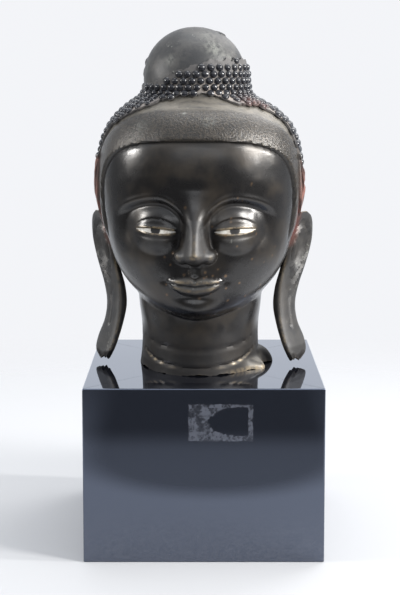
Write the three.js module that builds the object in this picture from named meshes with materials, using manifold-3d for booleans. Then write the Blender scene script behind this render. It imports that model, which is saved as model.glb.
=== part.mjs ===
// A cast bronze head of the Buddha with inlaid eyes and applied lacquer curls, on a polished black plinth.
// Millimetres, +Z up. The origin is the centre of the plinth's underside, and the face looks along -Y.

import * as THREE from "three";
import { mergeVertices } from "three/addons/utils/BufferGeometryUtils.js";
import Module from "manifold-3d";

const wasm = await Module();
wasm.setup();

// Driving dimensions
const plinthWidth = 200;
const plinthDepth = 200;
const plinthHeight = 147;
const plinthArris = 1;
const headHeight = 297;
const headTurnDegrees = 3;
const headOffsetX = -3;
const headAxisBack = 7;
const fitGap = 0.3;
const lacquerThickness = 2;
const curlHeight = 2.6;
const curlSpacing = 10;
const curlRowSpacing = 7.2;
const inlayThickness = 3;
const breakHeight = 1.6;

// The canon divides the height from the neck's edge to the top of the dome into fingers.
const canonFingers = 24.5;
const finger = headHeight / canonFingers;

// Levels in fingers above the neck's edge
const browLevel = 12.75;
const eyeLevel = 10.8;
const mouthLevel = 6.72;
const hairlineLevel = 16.6;
const bandTopLevel = 18.8;
const earTopLevel = 11.05;
const earTipLevel = 0.36;
const domeBaseLevel = 20.6;

// Detail of the faceted surfaces
const headRows = 43;
const headColumns = 44;
const earRows = 14;
const earColumns = 12;

const clamp01 = (t) => Math.min(1, Math.max(0, t));
const smoothStep = (from, to, x) => {
  const t = clamp01((x - from) / (to - from));
  return t * t * (3 - 2 * t);
};
const bell = (x, width) => Math.exp(-((x / width) ** 2));
const blendedMax = (a, b, reach) => {
  const closeness = Math.max(reach - Math.abs(a - b), 0) / reach;
  return Math.max(a, b) + (closeness * closeness * reach) / 4;
};

// A smooth curve through rows of [place, value, value, ...], level beyond its ends. It returns the values.
function curveThrough(rows) {
  const slopes = rows.map((row, i) => {
    const before = rows[Math.max(i - 1, 0)];
    const after = rows[Math.min(i + 1, rows.length - 1)];
    return row.map((_, k) => (after[k] - before[k]) / (after[0] - before[0]));
  });
  return (place) => {
    const x = Math.min(Math.max(place, rows[0][0]), rows[rows.length - 1][0]);
    const i = Math.max(rows.findIndex((row) => row[0] >= x), 1) - 1;
    const span = rows[i + 1][0] - rows[i][0];
    const t = (x - rows[i][0]) / span;
    const atEnd = t * t * (3 - 2 * t);
    const leaving = t * (1 - t) ** 2 * span;
    const arriving = t * t * (t - 1) * span;
    return rows[i]
      .map((value, k) => value * (1 - atEnd) + rows[i + 1][k] * atEnd
        + slopes[i][k] * leaving + slopes[i + 1][k] * arriving)
      .slice(1);
  };
}

// Level, then reach to the front, to the back and to each side of the head's egg, in fingers
const eggAt = curveThrough([
  [3.8, 3.9, 2.0, 0.5],
  [4.1, 5.2, 2.2, 1.9],
  [4.6, 6.15, 2.7, 3.3],
  [5.4, 6.5, 3.7, 4.5],
  [6.6, 6.62, 5.1, 5.55],
  [8.2, 6.72, 6.2, 6.35],
  [10.2, 6.8, 6.8, 6.85],
  [12.4, 6.95, 7.05, 7.15],
  [14.2, 7.08, 7.0, 7.17],
  [16.2, 6.86, 6.5, 6.92],
  [17.6, 6.3, 5.9, 6.25],
  [18.6, 5.35, 4.95, 5.2],
  [19.4, 4.0, 3.75, 3.85],
  [20.4, 2.2, 2.2, 2.2],
]);
const eggSquareness = 2.2;

// Level, then reach to the front, to the back and to each side of the neck, in fingers
const neckAt = curveThrough([
  [0, 5.25, 3.95, 4.4],
  [1.2, 5.05, 3.9, 4.27],
  [3, 4.95, 4.15, 4.27],
  [4.5, 4.9, 4.7, 4.45],
  [6, 4.8, 5.2, 4.55],
  [8, 4.4, 5.4, 4.4],
]);

const domeRadius = 3.72;
const domeFullness = 2.2;
const domeLean = 0.37;

// The distance from the axis to a rounded section's edge. The angle is 0 at the front and grows towards +X.
function sectionReach([front, back, side], angle, squareness) {
  const forward = Math.cos(angle);
  const depth = (front * (1 + forward) + back * (1 - forward)) / 2;
  const sum = Math.abs(Math.sin(angle) / side) ** squareness + Math.abs(forward / depth) ** squareness;
  return sum ** (-1 / squareness);
}

function domeReach(level) {
  const rise = clamp01((level - domeBaseLevel) / (canonFingers - domeBaseLevel));
  return domeRadius * Math.sqrt(1 - rise ** domeFullness) * smoothStep(15, 17, level);
}

// The broken flap and lump of metal that spread from the neck's edge on one side
function brokenEdgeReach(level, angle) {
  const lump = 0.95 * bell(angle - 1.62, 0.2) * Math.sqrt(1 - clamp01(level / 1.15) ** 2);
  const flap = 0.8 * bell(angle - 1.12, 0.17) * smoothStep(0.85, 0.2, level);
  return lump + flap;
}

function bodyReach(level, angle) {
  const egg = level > 3.8 && level < 20.4 ? sectionReach(eggAt(level), angle, eggSquareness) : 0;
  const neckShare = 1 - smoothStep(8, 10, level);
  const neck = sectionReach(neckAt(level), angle, 2) * neckShare + brokenEdgeReach(level, angle);
  return blendedMax(blendedMax(egg, neck, 0.45), domeReach(level), 0.7);
}

// How far the hair band stands out, between the hairline and the band's own upper edge
function bandRise(level, angle) {
  const turn = Math.abs(angle);
  const sideLevel = 9.5;
  const oval = (sideTurn, topLevel) => (turn / sideTurn) ** 3.2
    + (Math.max(0, level - sideLevel) / (topLevel - sideLevel)) ** 3.2;
  const outsideFace = smoothStep(0.97, 1.02, oval(1.24, hairlineLevel));
  const insideHair = 1 - smoothStep(0.9, 1.02, oval(1.5, bandTopLevel));
  return 0.17 * outsideFace * insideHair * smoothStep(9, 10.5, level);
}

// Depth of the hollow under the brow, at a distance across from the nose's ridge
function browHollow(across, level) {
  const inward = Math.min(across - 2.7, 0);
  const outward = Math.max(across - 2.7, 0);
  const below = browLevel - 0.3 * inward ** 2 - 0.11 * outward ** 2 - level;
  const width = smoothStep(0, 1.5, across) * smoothStep(6, 4.2, across);
  return 0.52 * width * smoothStep(0, 1, below) * (1 - smoothStep(1, 3.6, below));
}

function eyeBulge(across, level) {
  const height = level > eyeLevel ? 1.6 : 2.1;
  const inside = 1 - ((across - 2.7) / 2.3) ** 2 - ((level - eyeLevel) / height) ** 2;
  return 0.56 * smoothStep(0, 0.95, inside);
}

// Level, then how far the nose stands out and its half width, in fingers
const noseAt = curveThrough([
  [7.95, 0, 1.3],
  [8.2, 0.25, 1.35],
  [8.45, 1.15, 1.4],
  [8.8, 1.66, 1.45],
  [9.25, 1.6, 1.3],
  [10.2, 1.16, 1.1],
  [11.2, 0.74, 1.1],
  [12.2, 0.34, 1.35],
  [13.4, 0, 1.9],
]);

function noseRise(across, level) {
  const [height, halfWidth] = noseAt(level);
  const ridge = height * (1 - clamp01(across / halfWidth) ** 2) ** 1.7;
  const wing = 0.78 * Math.max(0, 1 - ((across - 0.9) / 0.62) ** 2 - ((level - 8.78) / 0.58) ** 2) ** 0.8;
  const joint = smoothStep(0, 0.35, Math.min(ridge, wing));
  return Math.max(ridge, wing) * (1 - joint) + blendedMax(ridge, wing, 0.5) * joint;
}

// A lip's swell from the parting, at 0, over its crest to its edge, at 1
function lipSwell(share, crest, edgeFall) {
  if (share > 1) return 0;
  const inner = 1 - 0.4 * clamp01(1 - share / crest) ** 2;
  const outer = 1 - edgeFall * clamp01((share - crest) / (1 - crest)) ** 2;
  return inner * outer;
}

function lipRise(across, level) {
  const parting = mouthLevel + 0.03 * across ** 2;
  const upperHeight = 0.62 * Math.max(0, 1 - (across / 2.1) ** 2) ** 0.75 + 0.01;
  const lowerHeight = 0.78 * Math.max(0, 1 - (across / 1.9) ** 2) ** 0.65 + 0.01;
  const swell = level > parting
    ? lipSwell((level - parting) / upperHeight, 0.35, 0.7)
    : lipSwell((parting - level) / lowerHeight, 0.45, 1);
  const mound = 0.3 * bell(across, 2.2) * bell(level - 6.9, 1.3);
  return mound + 0.36 * swell * smoothStep(2.12, 1, across) ** 0.8;
}

function chinAndCheekRise(across, level) {
  const chin = 0.3 * bell(across, 1.5) * bell(level - 4.95, 0.75);
  const underLip = 0.14 * bell(across, 1.3) * bell(level - 5.8, 0.3);
  const cheek = 0.26 * bell(across - 3.5, 1.8) * bell(level - 8.6, 1.6);
  return chin - underLip + cheek;
}

// A point of the head without its face, in millimetres from the neck's edge and the head's own axis
function bodyPoint(level, angle) {
  const reach = bodyReach(level, angle) + bandRise(level, angle);
  const lean = domeLean * smoothStep(17, 21, level);
  return new THREE.Vector3(reach * Math.sin(angle) - lean, -reach * Math.cos(angle), level)
    .multiplyScalar(finger);
}

function facePoint(level, angle) {
  const point = bodyPoint(level, angle);
  const across = Math.abs(point.x) / finger;
  const towardsFront = smoothStep(-1.2, -3.2, point.y / finger);
  const rise = noseRise(across, level) + lipRise(across, level) + chinAndCheekRise(across, level)
    + eyeBulge(across, level) - browHollow(across, level);
  point.y -= towardsFront * rise * finger;
  return point;
}

// A point carried outwards, square to the head without its face
function liftedPoint(level, angle, lift) {
  const step = 0.02;
  const low = Math.max(level - step, 0);
  const high = Math.min(level + step, canonFingers - step);
  const up = bodyPoint(high, angle).sub(bodyPoint(low, angle));
  const round = bodyPoint(level, angle + step).sub(bodyPoint(level, angle - step));
  return bodyPoint(level, angle).addScaledVector(round.cross(up).normalize(), lift);
}

// Places from 0 to 1 that crowd together where the density is high
function crowdedPlaces(count, density) {
  const samples = 600;
  const totals = [0];
  for (let i = 0; i < samples; i++) totals.push(totals[i] + density((i + 0.5) / samples));
  const places = [0];
  let i = 0;
  for (let k = 1; k < count; k++) {
    const wanted = (totals[samples] * k) / count;
    while (totals[i + 1] < wanted) i++;
    places.push((i + (wanted - totals[i]) / (totals[i + 1] - totals[i])) / samples);
  }
  return [...places, 1];
}

const headLevels = crowdedPlaces(headRows, (share) => {
  const level = share * canonFingers;
  const step = 0.05;
  const slopes = [0, Math.PI / 2, Math.PI].map(
    (angle) => Math.abs(bodyReach(level + step, angle) - bodyReach(level - step, angle)) / (2 * step),
  );
  const face = smoothStep(3.2, 4.2, level) * smoothStep(14, 12.5, level);
  const features = 2.2 * bell(level - mouthLevel, 0.6) + 1.4 * bell(level - 8.6, 0.5) + bell(level - 12.2, 0.6);
  return Math.hypot(1, Math.min(Math.max(...slopes), 6)) * (1 + 0.6 * face + features);
}).map((share) => share * canonFingers);

const headAngles = crowdedPlaces(headColumns, (share) => {
  const turn = Math.abs(share - 0.5) * 2 * Math.PI;
  return 1 + 1.6 * smoothStep(1.5, 0.7, turn) + 2.6 * smoothStep(0.5, 0.2, turn);
}).map((share) => (share - 0.5) * 2 * Math.PI).slice(0, -1);

function geometryFrom(positions, triangles) {
  const geometry = new THREE.BufferGeometry();
  geometry.setAttribute("position", new THREE.Float32BufferAttribute(positions, 3));
  geometry.setIndex(triangles);
  return geometry;
}

// A closed surface over rings of points, between a point below them and a point above them. The shorter diagonals
// join each ring to the next, and equal ones lean the same way on both sides.
function surfaceOverRings(bottom, rings, top) {
  const triangles = [];
  const starts = [1];
  rings.forEach((ring, r) => starts.push(starts[r] + ring.length));
  const corner = (r, i) => starts[r] + (i % rings[r].length);
  const last = rings.length - 1;
  for (let i = 0; i < rings[0].length; i++) triangles.push([0, corner(0, i + 1), corner(0, i)]);
  for (let i = 0; i < rings[last].length; i++) {
    triangles.push([starts[last + 1], corner(last, i), corner(last, i + 1)]);
  }
  for (let r = 0; r < last; r++) {
    const lower = rings[r].length;
    const upper = rings[r + 1].length;
    let i = 0;
    let k = 0;
    while (i < lower || k < upper) {
      const fromLower = rings[r][(i + 1) % lower].distanceTo(rings[r + 1][k % upper]);
      const fromUpper = rings[r][i % lower].distanceTo(rings[r + 1][(k + 1) % upper]);
      const even = Math.abs(fromLower - fromUpper) < 1e-6;
      const lowerFirst = even ? i < lower / 2 : fromLower < fromUpper;
      if (k >= upper || (i < lower && lowerFirst)) {
        triangles.push([corner(r, i), corner(r, i + 1), corner(r + 1, k)]);
        i++;
      } else {
        triangles.push([corner(r, i), corner(r + 1, k + 1), corner(r + 1, k)]);
        k++;
      }
    }
  }
  const points = [bottom, ...rings.flat(), top];
  return geometryFrom(points.flatMap((point) => point.toArray()), triangles.flat());
}

function solidOf(geometry) {
  const bare = geometry.clone();
  bare.deleteAttribute("normal");
  bare.deleteAttribute("uv");
  const merged = mergeVertices(bare, 1e-4);
  return new wasm.Manifold(new wasm.Mesh({
    numProp: 3,
    vertProperties: new Float32Array(merged.attributes.position.array),
    triVerts: new Uint32Array(merged.index.array),
  }));
}

function geometryOf(solid) {
  const mesh = solid.getMesh();
  return geometryFrom(Array.from(mesh.vertProperties), Array.from(mesh.triVerts));
}

// A bar whose section is an outline of x and z in fingers, from one y to another
function barSeenFromFront(outline, fromY, toY) {
  const shape = new THREE.Shape(outline.map(([x, z]) => new THREE.Vector2(x, z).multiplyScalar(finger)));
  const bar = new THREE.ExtrudeGeometry(shape, { depth: (toY - fromY) * finger, bevelEnabled: false });
  return bar.rotateX(Math.PI / 2).translate(0, toY * finger, 0);
}

// The space below an edge of [degrees round from the front, level in fingers], level along every radius
function spaceBelow(edge) {
  const ring = (radius, levelOf) => edge.map(([degrees, level]) => {
    const angle = degrees * THREE.MathUtils.DEG2RAD;
    return new THREE.Vector3(radius * Math.sin(angle), -radius * Math.cos(angle), levelOf(level))
      .multiplyScalar(finger);
  });
  const rings = [ring(12, () => -1), ring(12, (level) => level), ring(1, (level) => level)];
  const meanLevel = edge.reduce((sum, [, level]) => sum + level, 0) / edge.length;
  return surfaceOverRings(new THREE.Vector3(0, 0, -finger), rings, new THREE.Vector3(0, 0, meanLevel * finger));
}

// The neck's lowest edge is broken: it rises and falls around the flat seat that it stands on.
function breakRise(angle) {
  const waves = 0.25 + 0.45 * Math.sin(5 * angle + 0.6) + 0.4 * Math.sin(13 * angle + 2);
  return breakHeight * clamp01(waves + 0.2 * Math.sin(23 * angle));
}

function headGeometry() {
  const edge = headAngles.map((angle) => facePoint(0, angle).setZ(breakRise(angle)));
  const seat = edge.map((point) => new THREE.Vector3(point.x * 0.9, point.y * 0.9, 0));
  const rows = headLevels.slice(1, -1).map((level) => headAngles.map((angle) => facePoint(level, angle)));
  const peak = new THREE.Vector3(-domeLean * finger, 0, headHeight);
  return surfaceOverRings(new THREE.Vector3(), [seat, edge, ...rows], peak);
}

// The head's surface carried outwards by the gap that the hair layer keeps
function clearHeadGeometry() {
  const rows = headLevels.slice(0, -1).map(
    (level) => headAngles.map((angle) => liftedPoint(level, angle, fitGap)),
  );
  const peak = new THREE.Vector3(-domeLean * finger, 0, headHeight + fitGap);
  return surfaceOverRings(new THREE.Vector3(), rows, peak);
}

// Ear: level, x of its front and back edges, y of its front edge and its thickness, in fingers
const earAt = curveThrough([
  [earTipLevel, 6.95, 7.5, -1.5, 0.6],
  [0.75, 6.8, 7.95, -1.5, 0.72],
  [1.6, 6.45, 7.86, -1.5, 0.72],
  [3, 6.1, 7.33, -1.35, 0.8],
  [4.3, 5.98, 7.2, -1.15, 0.95],
  [5.6, 6.05, 7.48, -0.95, 0.9],
  [7, 6.3, 7.96, -0.75, 0.74],
  [8.6, 6.55, 8.38, -0.6, 0.64],
  [9.8, 6.72, 8.45, -0.5, 0.58],
  [10.6, 6.9, 8.3, -0.4, 0.5],
  [earTopLevel, 7.2, 7.9, -0.2, 0.3],
]);
const earSquareness = 3;
const earFacing = Math.PI / 3;

// Depth of the ear's carved hollows, across it from -1 at its front edge to 1 at its back edge
function earHollow(across, level) {
  const oval = Math.hypot((across - 0.02) / 0.74, (level - 8.2) / 2.45);
  const furrow = smoothStep(1.02, 0.88, oval) * (1 - bell(oval - 0.64, 0.12));
  return 0.2 * furrow + 0.16 * smoothStep(0.5, 0.3, oval);
}

// One ear, on the side of +X or -X, grown all round by a margin and outwards by more, in fingers
function earGeometry(side, margin, outwardMargin) {
  const outward = new THREE.Vector3(Math.sin(earFacing), -Math.cos(earFacing), 0);
  const backward = new THREE.Vector3(Math.cos(earFacing), Math.sin(earFacing), 0);
  const rings = [];
  for (let row = 0; row <= earRows; row++) {
    const share = (1 - Math.cos((Math.PI * row) / earRows)) / 2;
    const level = earTipLevel + (earTopLevel - earTipLevel) * share;
    const [frontX, backX, frontY, thickness] = earAt(level);
    const halfWidth = (backX - frontX) / (2 * backward.x);
    const middle = new THREE.Vector3(frontX, frontY, 0)
      .addScaledVector(backward, halfWidth)
      .addScaledVector(outward, -thickness / 2);
    const ring = [];
    for (let i = 0; i < earColumns; i++) {
      const turn = (i / earColumns) * 2 * Math.PI;
      const roundness = Math.abs(Math.cos(turn)) ** earSquareness + Math.abs(Math.sin(turn)) ** earSquareness;
      const across = Math.cos(turn) * roundness ** (-1 / earSquareness);
      const through = Math.sin(turn) * roundness ** (-1 / earSquareness);
      const hollow = margin === 0 ? earHollow(across, level) * Math.max(0, through) : 0;
      const point = middle.clone()
        .addScaledVector(backward, across * (halfWidth + margin))
        .addScaledVector(outward, through * (thickness / 2 + (through > 0 ? outwardMargin : margin)) - hollow)
        .setZ(level + margin * (2 * share - 1))
        .multiplyScalar(finger);
      point.x *= side;
      ring.push(point);
    }
    rings.push(side > 0 ? ring.reverse() : ring);
  }
  const centres = [rings[0], rings[earRows]].map(
    (ring) => ring.reduce((sum, point) => sum.add(point), new THREE.Vector3()).divideScalar(ring.length),
  );
  return surfaceOverRings(centres[0], rings, centres[1]);
}

// The slim leaf between the eye's corners that the inlay fills, seen from the front, with a margin in fingers
const eyeInnerCorner = 1.3;
const eyeOuterCorner = 4.15;
const eyeCornerLevel = 10.42;
const eyeOpening = 0.3;
const eyeFrontY = -9;
const eyeBackY = -3;

function eyeBar(side, margin) {
  const steps = 6;
  const upper = [];
  const lower = [];
  for (let i = 0; i <= steps; i++) {
    const share = i / steps;
    const across = eyeInnerCorner - margin + (eyeOuterCorner - eyeInnerCorner + 2 * margin) * share;
    const middle = eyeCornerLevel + 0.12 * share;
    const swell = (eyeOpening / 2) * Math.sin(Math.PI * share) ** 0.8 + margin + 0.02;
    upper.push([side * across, middle + swell]);
    lower.push([side * across, middle - swell]);
  }
  return barSeenFromFront([...upper, ...lower.reverse()], eyeFrontY, eyeBackY);
}

// Hair layer: its lower edge, above the brow band, behind the ears and across the nape
const hairLowerEdge = [
  [-180, 3.9], [-155, 4.1], [-136, 4.8], [-110, 6.6], [-96.5, 9.1], [-82, 11.3], [-78, 12.5], [-77, 16.4],
  [-72, 17.4], [-54.6, 18.23], [-33, 19.13], [-11, 19.66], [20, 19.66], [32, 19.22], [37, 18.98], [52, 18.89],
  [60, 18.81], [69, 18.31], [75.5, 17.6], [77, 16.7], [78, 12.5], [82, 11.3], [96.5, 9.1], [110, 6.6],
  [136, 4.8], [155, 4.1],
];

// Its broken upper edge round the dome
const hairUpperEdge = [
  [-180, 21.4], [-130, 20.7], [-90, 20.25], [-66, 20.3], [-41, 20.6], [-24, 21.2], [-7, 21.55], [8, 21.8],
  [18, 22], [37, 22.1], [56, 22.15], [79, 22.05], [95, 21.8], [135, 21.7],
];

// The layer's outer surface, with rings of alternating peaks and valleys, each ring a half curl on from the last
function curlGeometry() {
  const rings = [];
  const lowest = 3.4;
  const highest = 23.2;
  let level = lowest;
  while (level < highest) {
    const circumference = 2 * Math.PI * bodyReach(level, Math.PI / 2) * finger;
    const curls = Math.round(circumference / curlSpacing);
    const ring = [];
    for (let i = 0; i < 2 * curls; i++) {
      const peak = (i + rings.length) % 2 === 0;
      const lift = fitGap + lacquerThickness + (peak ? curlHeight : 0);
      ring.push(liftedPoint(level, (i / (2 * curls) - 0.5) * 2 * Math.PI, lift));
    }
    rings.push(ring);
    const step = 0.1;
    const slope = (bodyReach(level + step, Math.PI / 2) - bodyReach(level - step, Math.PI / 2)) / (2 * step);
    level += curlRowSpacing / finger / Math.hypot(1, Math.min(Math.abs(slope), 3));
  }
  const lastLevel = rings[rings.length - 1][0].z;
  return surfaceOverRings(new THREE.Vector3(0, 0, rings[0][0].z), rings, new THREE.Vector3(0, 0, lastLevel));
}

function hairSolid() {
  const margin = fitGap / finger;
  return solidOf(curlGeometry())
    .intersect(solidOf(spaceBelow(hairUpperEdge)))
    .subtract(solidOf(spaceBelow(hairLowerEdge)))
    .subtract(solidOf(clearHeadGeometry()))
    .subtract(solidOf(earGeometry(1, margin, 1)))
    .subtract(solidOf(earGeometry(-1, margin, 1)));
}

// A square block with its edges eased
function plinthGeometry() {
  const x = plinthWidth / 2 - plinthArris;
  const y = plinthDepth / 2 - plinthArris;
  const corner = plinthArris;
  const outline = [
    [-x + corner, -y], [x - corner, -y], [x, -y + corner], [x, y - corner],
    [x - corner, y], [-x + corner, y], [-x, y - corner], [-x, -y + corner],
  ].map(([px, py]) => new THREE.Vector2(px, py));
  const block = new THREE.ExtrudeGeometry(new THREE.Shape(outline), {
    depth: plinthHeight - 2 * plinthArris,
    bevelSize: plinthArris,
    bevelThickness: plinthArris,
    bevelSegments: 1,
  });
  return block.translate(0, 0, plinthArris);
}

const bronze = new THREE.MeshStandardMaterial({ color: 0x4a4a4d, roughness: 0.35, metalness: 0.9 });
const lacquer = new THREE.MeshStandardMaterial({ color: 0x26262b, roughness: 0.3, metalness: 0 });
const shell = new THREE.MeshStandardMaterial({ color: 0xdcd8cf, roughness: 0.25, metalness: 0 });
const polishedBlack = new THREE.MeshStandardMaterial({ color: 0x0b0b0d, roughness: 0.06, metalness: 0 });

function namedMesh(name, geometry, material) {
  const mesh = new THREE.Mesh(geometry, material);
  mesh.name = name;
  return mesh;
}

const castHead = headGeometry();
const wholeHead = solidOf(castHead);
const pocketFloor = solidOf(castHead.clone().translate(0, inlayThickness + fitGap, 0));
const inlayBack = solidOf(castHead.clone().translate(0, inlayThickness, 0));

let bronzeSolid = wholeHead;
const inlays = [];
for (const [name, side] of [["eye_inlay_left", 1], ["eye_inlay_right", -1]]) {
  const pocket = solidOf(eyeBar(side, fitGap / finger)).subtract(pocketFloor);
  bronzeSolid = bronzeSolid.subtract(pocket);
  const inlay = solidOf(eyeBar(side, 0)).intersect(wholeHead).subtract(inlayBack);
  inlays.push(namedMesh(name, geometryOf(inlay), shell));
}
bronzeSolid = bronzeSolid.add(solidOf(earGeometry(1, 0, 0))).add(solidOf(earGeometry(-1, 0, 0)));

const head = new THREE.Group();
head.add(namedMesh("head", geometryOf(bronzeSolid), bronze));
head.add(namedMesh("hair_curls", geometryOf(hairSolid()), lacquer));
head.add(...inlays);
head.position.set(headOffsetX, headAxisBack, plinthHeight);
head.rotation.z = -headTurnDegrees * THREE.MathUtils.DEG2RAD;

const group = new THREE.Group();
group.add(namedMesh("plinth", plinthGeometry(), polishedBlack));
group.add(head);

export default group;
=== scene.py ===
"""A cast bronze buddha head on a polished black plinth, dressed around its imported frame."""

import sys

import logging
import math
from collections.abc import Callable, Sequence
from dataclasses import dataclass, field
from enum import Enum

import bpy
import numpy as np
from mathutils import Euler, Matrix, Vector


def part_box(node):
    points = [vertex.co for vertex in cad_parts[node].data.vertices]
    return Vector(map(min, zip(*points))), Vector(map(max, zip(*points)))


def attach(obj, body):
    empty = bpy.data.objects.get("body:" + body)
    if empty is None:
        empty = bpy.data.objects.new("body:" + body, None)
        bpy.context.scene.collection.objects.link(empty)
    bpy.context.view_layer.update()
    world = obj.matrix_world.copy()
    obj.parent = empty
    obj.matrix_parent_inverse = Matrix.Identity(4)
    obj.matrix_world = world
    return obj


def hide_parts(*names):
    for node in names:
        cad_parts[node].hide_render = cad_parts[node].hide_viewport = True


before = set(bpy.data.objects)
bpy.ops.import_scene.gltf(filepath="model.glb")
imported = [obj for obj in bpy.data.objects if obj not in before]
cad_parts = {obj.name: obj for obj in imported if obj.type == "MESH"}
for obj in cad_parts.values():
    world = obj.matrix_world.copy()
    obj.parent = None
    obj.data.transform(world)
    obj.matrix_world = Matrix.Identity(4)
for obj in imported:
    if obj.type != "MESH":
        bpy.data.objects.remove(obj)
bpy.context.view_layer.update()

LOG = logging.getLogger("buddha_head")
# The head's height in fingers, the unit that all its forms are given in
FINGERS = 24.5
# How many steps a density is summed in
SAMPLES = 4000

Array = np.ndarray


class Side(Enum):
    """A side of the head as seen from the front, by the sign of x."""

    RIGHT = 1
    LEFT = -1


def clamp01(values: Array) -> Array:
    """Keeps values between 0 and 1."""
    return np.clip(values, 0.0, 1.0)


def smooth_step(start: float, end: float, values: Array) -> Array:
    """Rises smoothly from 0 at start to 1 at end.

    Args:
        start: Where the result is 0.
        end: Where the result is 1. It may be below start.
        values: The places to read.

    Returns:
        The risen share at each place.
    """
    t = clamp01((np.asarray(values, float) - start) / (end - start))
    return t * t * (3 - 2 * t)


def bell(values: Array, width: float) -> Array:
    """A bell-shaped bump of height 1 at 0."""
    return np.exp(-((np.asarray(values, float) / width) ** 2))


def blended_max(a: Array, b: Array, reach: float) -> Array:
    """The larger of two values, with a smooth change from one to the other.

    Args:
        a: The first values.
        b: The second values.
        reach: How close the two have to be before they blend.

    Returns:
        The blended values.
    """
    closeness = np.maximum(reach - np.abs(a - b), 0) / reach
    return np.maximum(a, b) + closeness**2 * reach / 4


class StationCurve:
    """A smooth curve through stations of a place and several values, level beyond its ends."""

    def __init__(self, stations: Sequence[Sequence[float]]) -> None:
        """Takes the stations.

        Args:
            stations: Rows of a place and its values, in rising order of place.
        """
        rows = np.array(stations, float)
        self.places = rows[:, 0]
        self.values = rows[:, 1:]
        before = np.maximum(np.arange(len(rows)) - 1, 0)
        after = np.minimum(np.arange(len(rows)) + 1, len(rows) - 1)
        run = (self.places[after] - self.places[before])[:, None]
        self.slopes = (self.values[after] - self.values[before]) / run

    def at(self, place: Array) -> list[Array]:
        """Reads the curve.

        Args:
            place: The places to read.

        Returns:
            One array for each value.
        """
        x = np.clip(np.asarray(place, float), self.places[0], self.places[-1])
        i = np.clip(np.searchsorted(self.places, x) - 1, 0, len(self.places) - 2)
        span = self.places[i + 1] - self.places[i]
        t = (x - self.places[i]) / span
        at_end = t * t * (3 - 2 * t)
        leaving = t * (1 - t) ** 2 * span
        arriving = t * t * (t - 1) * span
        return [
            value[i] * (1 - at_end) + value[i + 1] * at_end + slope[i] * leaving + slope[i + 1] * arriving
            for value, slope in zip(self.values.T, self.slopes.T)
        ]


class Unevenness:
    """Seeded smooth noise in space, between -1 and 1."""

    def __init__(self, seed: int) -> None:
        """Fills the lattice.

        Args:
            seed: What the random numbers start from.
        """
        self.cells = 32
        self.lattice = np.random.default_rng(seed).uniform(-1, 1, (self.cells,) * 3)

    def at(self, points: Array, size: float) -> Array:
        """Reads the noise.

        Args:
            points: Points, one to a row.
            size: The size of its lumps, in the points' own unit.

        Returns:
            The noise at each point.
        """
        scaled = points / size
        base = np.floor(scaled).astype(int)
        t = scaled - base
        t = t * t * (3 - 2 * t)
        total = np.zeros(len(points))
        for corner in np.ndindex(2, 2, 2):
            index = (base + corner) % self.cells
            share = np.prod(np.where(corner, t, 1 - t), axis=1)
            total += share * self.lattice[index[:, 0], index[:, 1], index[:, 2]]
        return total


def crowded_places(count: int, density: Callable[[Array], Array]) -> Array:
    """Places from 0 to 1 that crowd together where the density is high.

    Args:
        count: How many steps to take.
        density: The density at each share of the way.

    Returns:
        One more place than there are steps.
    """
    middle = (np.arange(SAMPLES) + 0.5) / SAMPLES
    totals = np.concatenate([[0], np.cumsum(density(middle))])
    return np.interp(np.linspace(0, totals[-1], count + 1), totals, np.linspace(0, 1, SAMPLES + 1))


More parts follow.
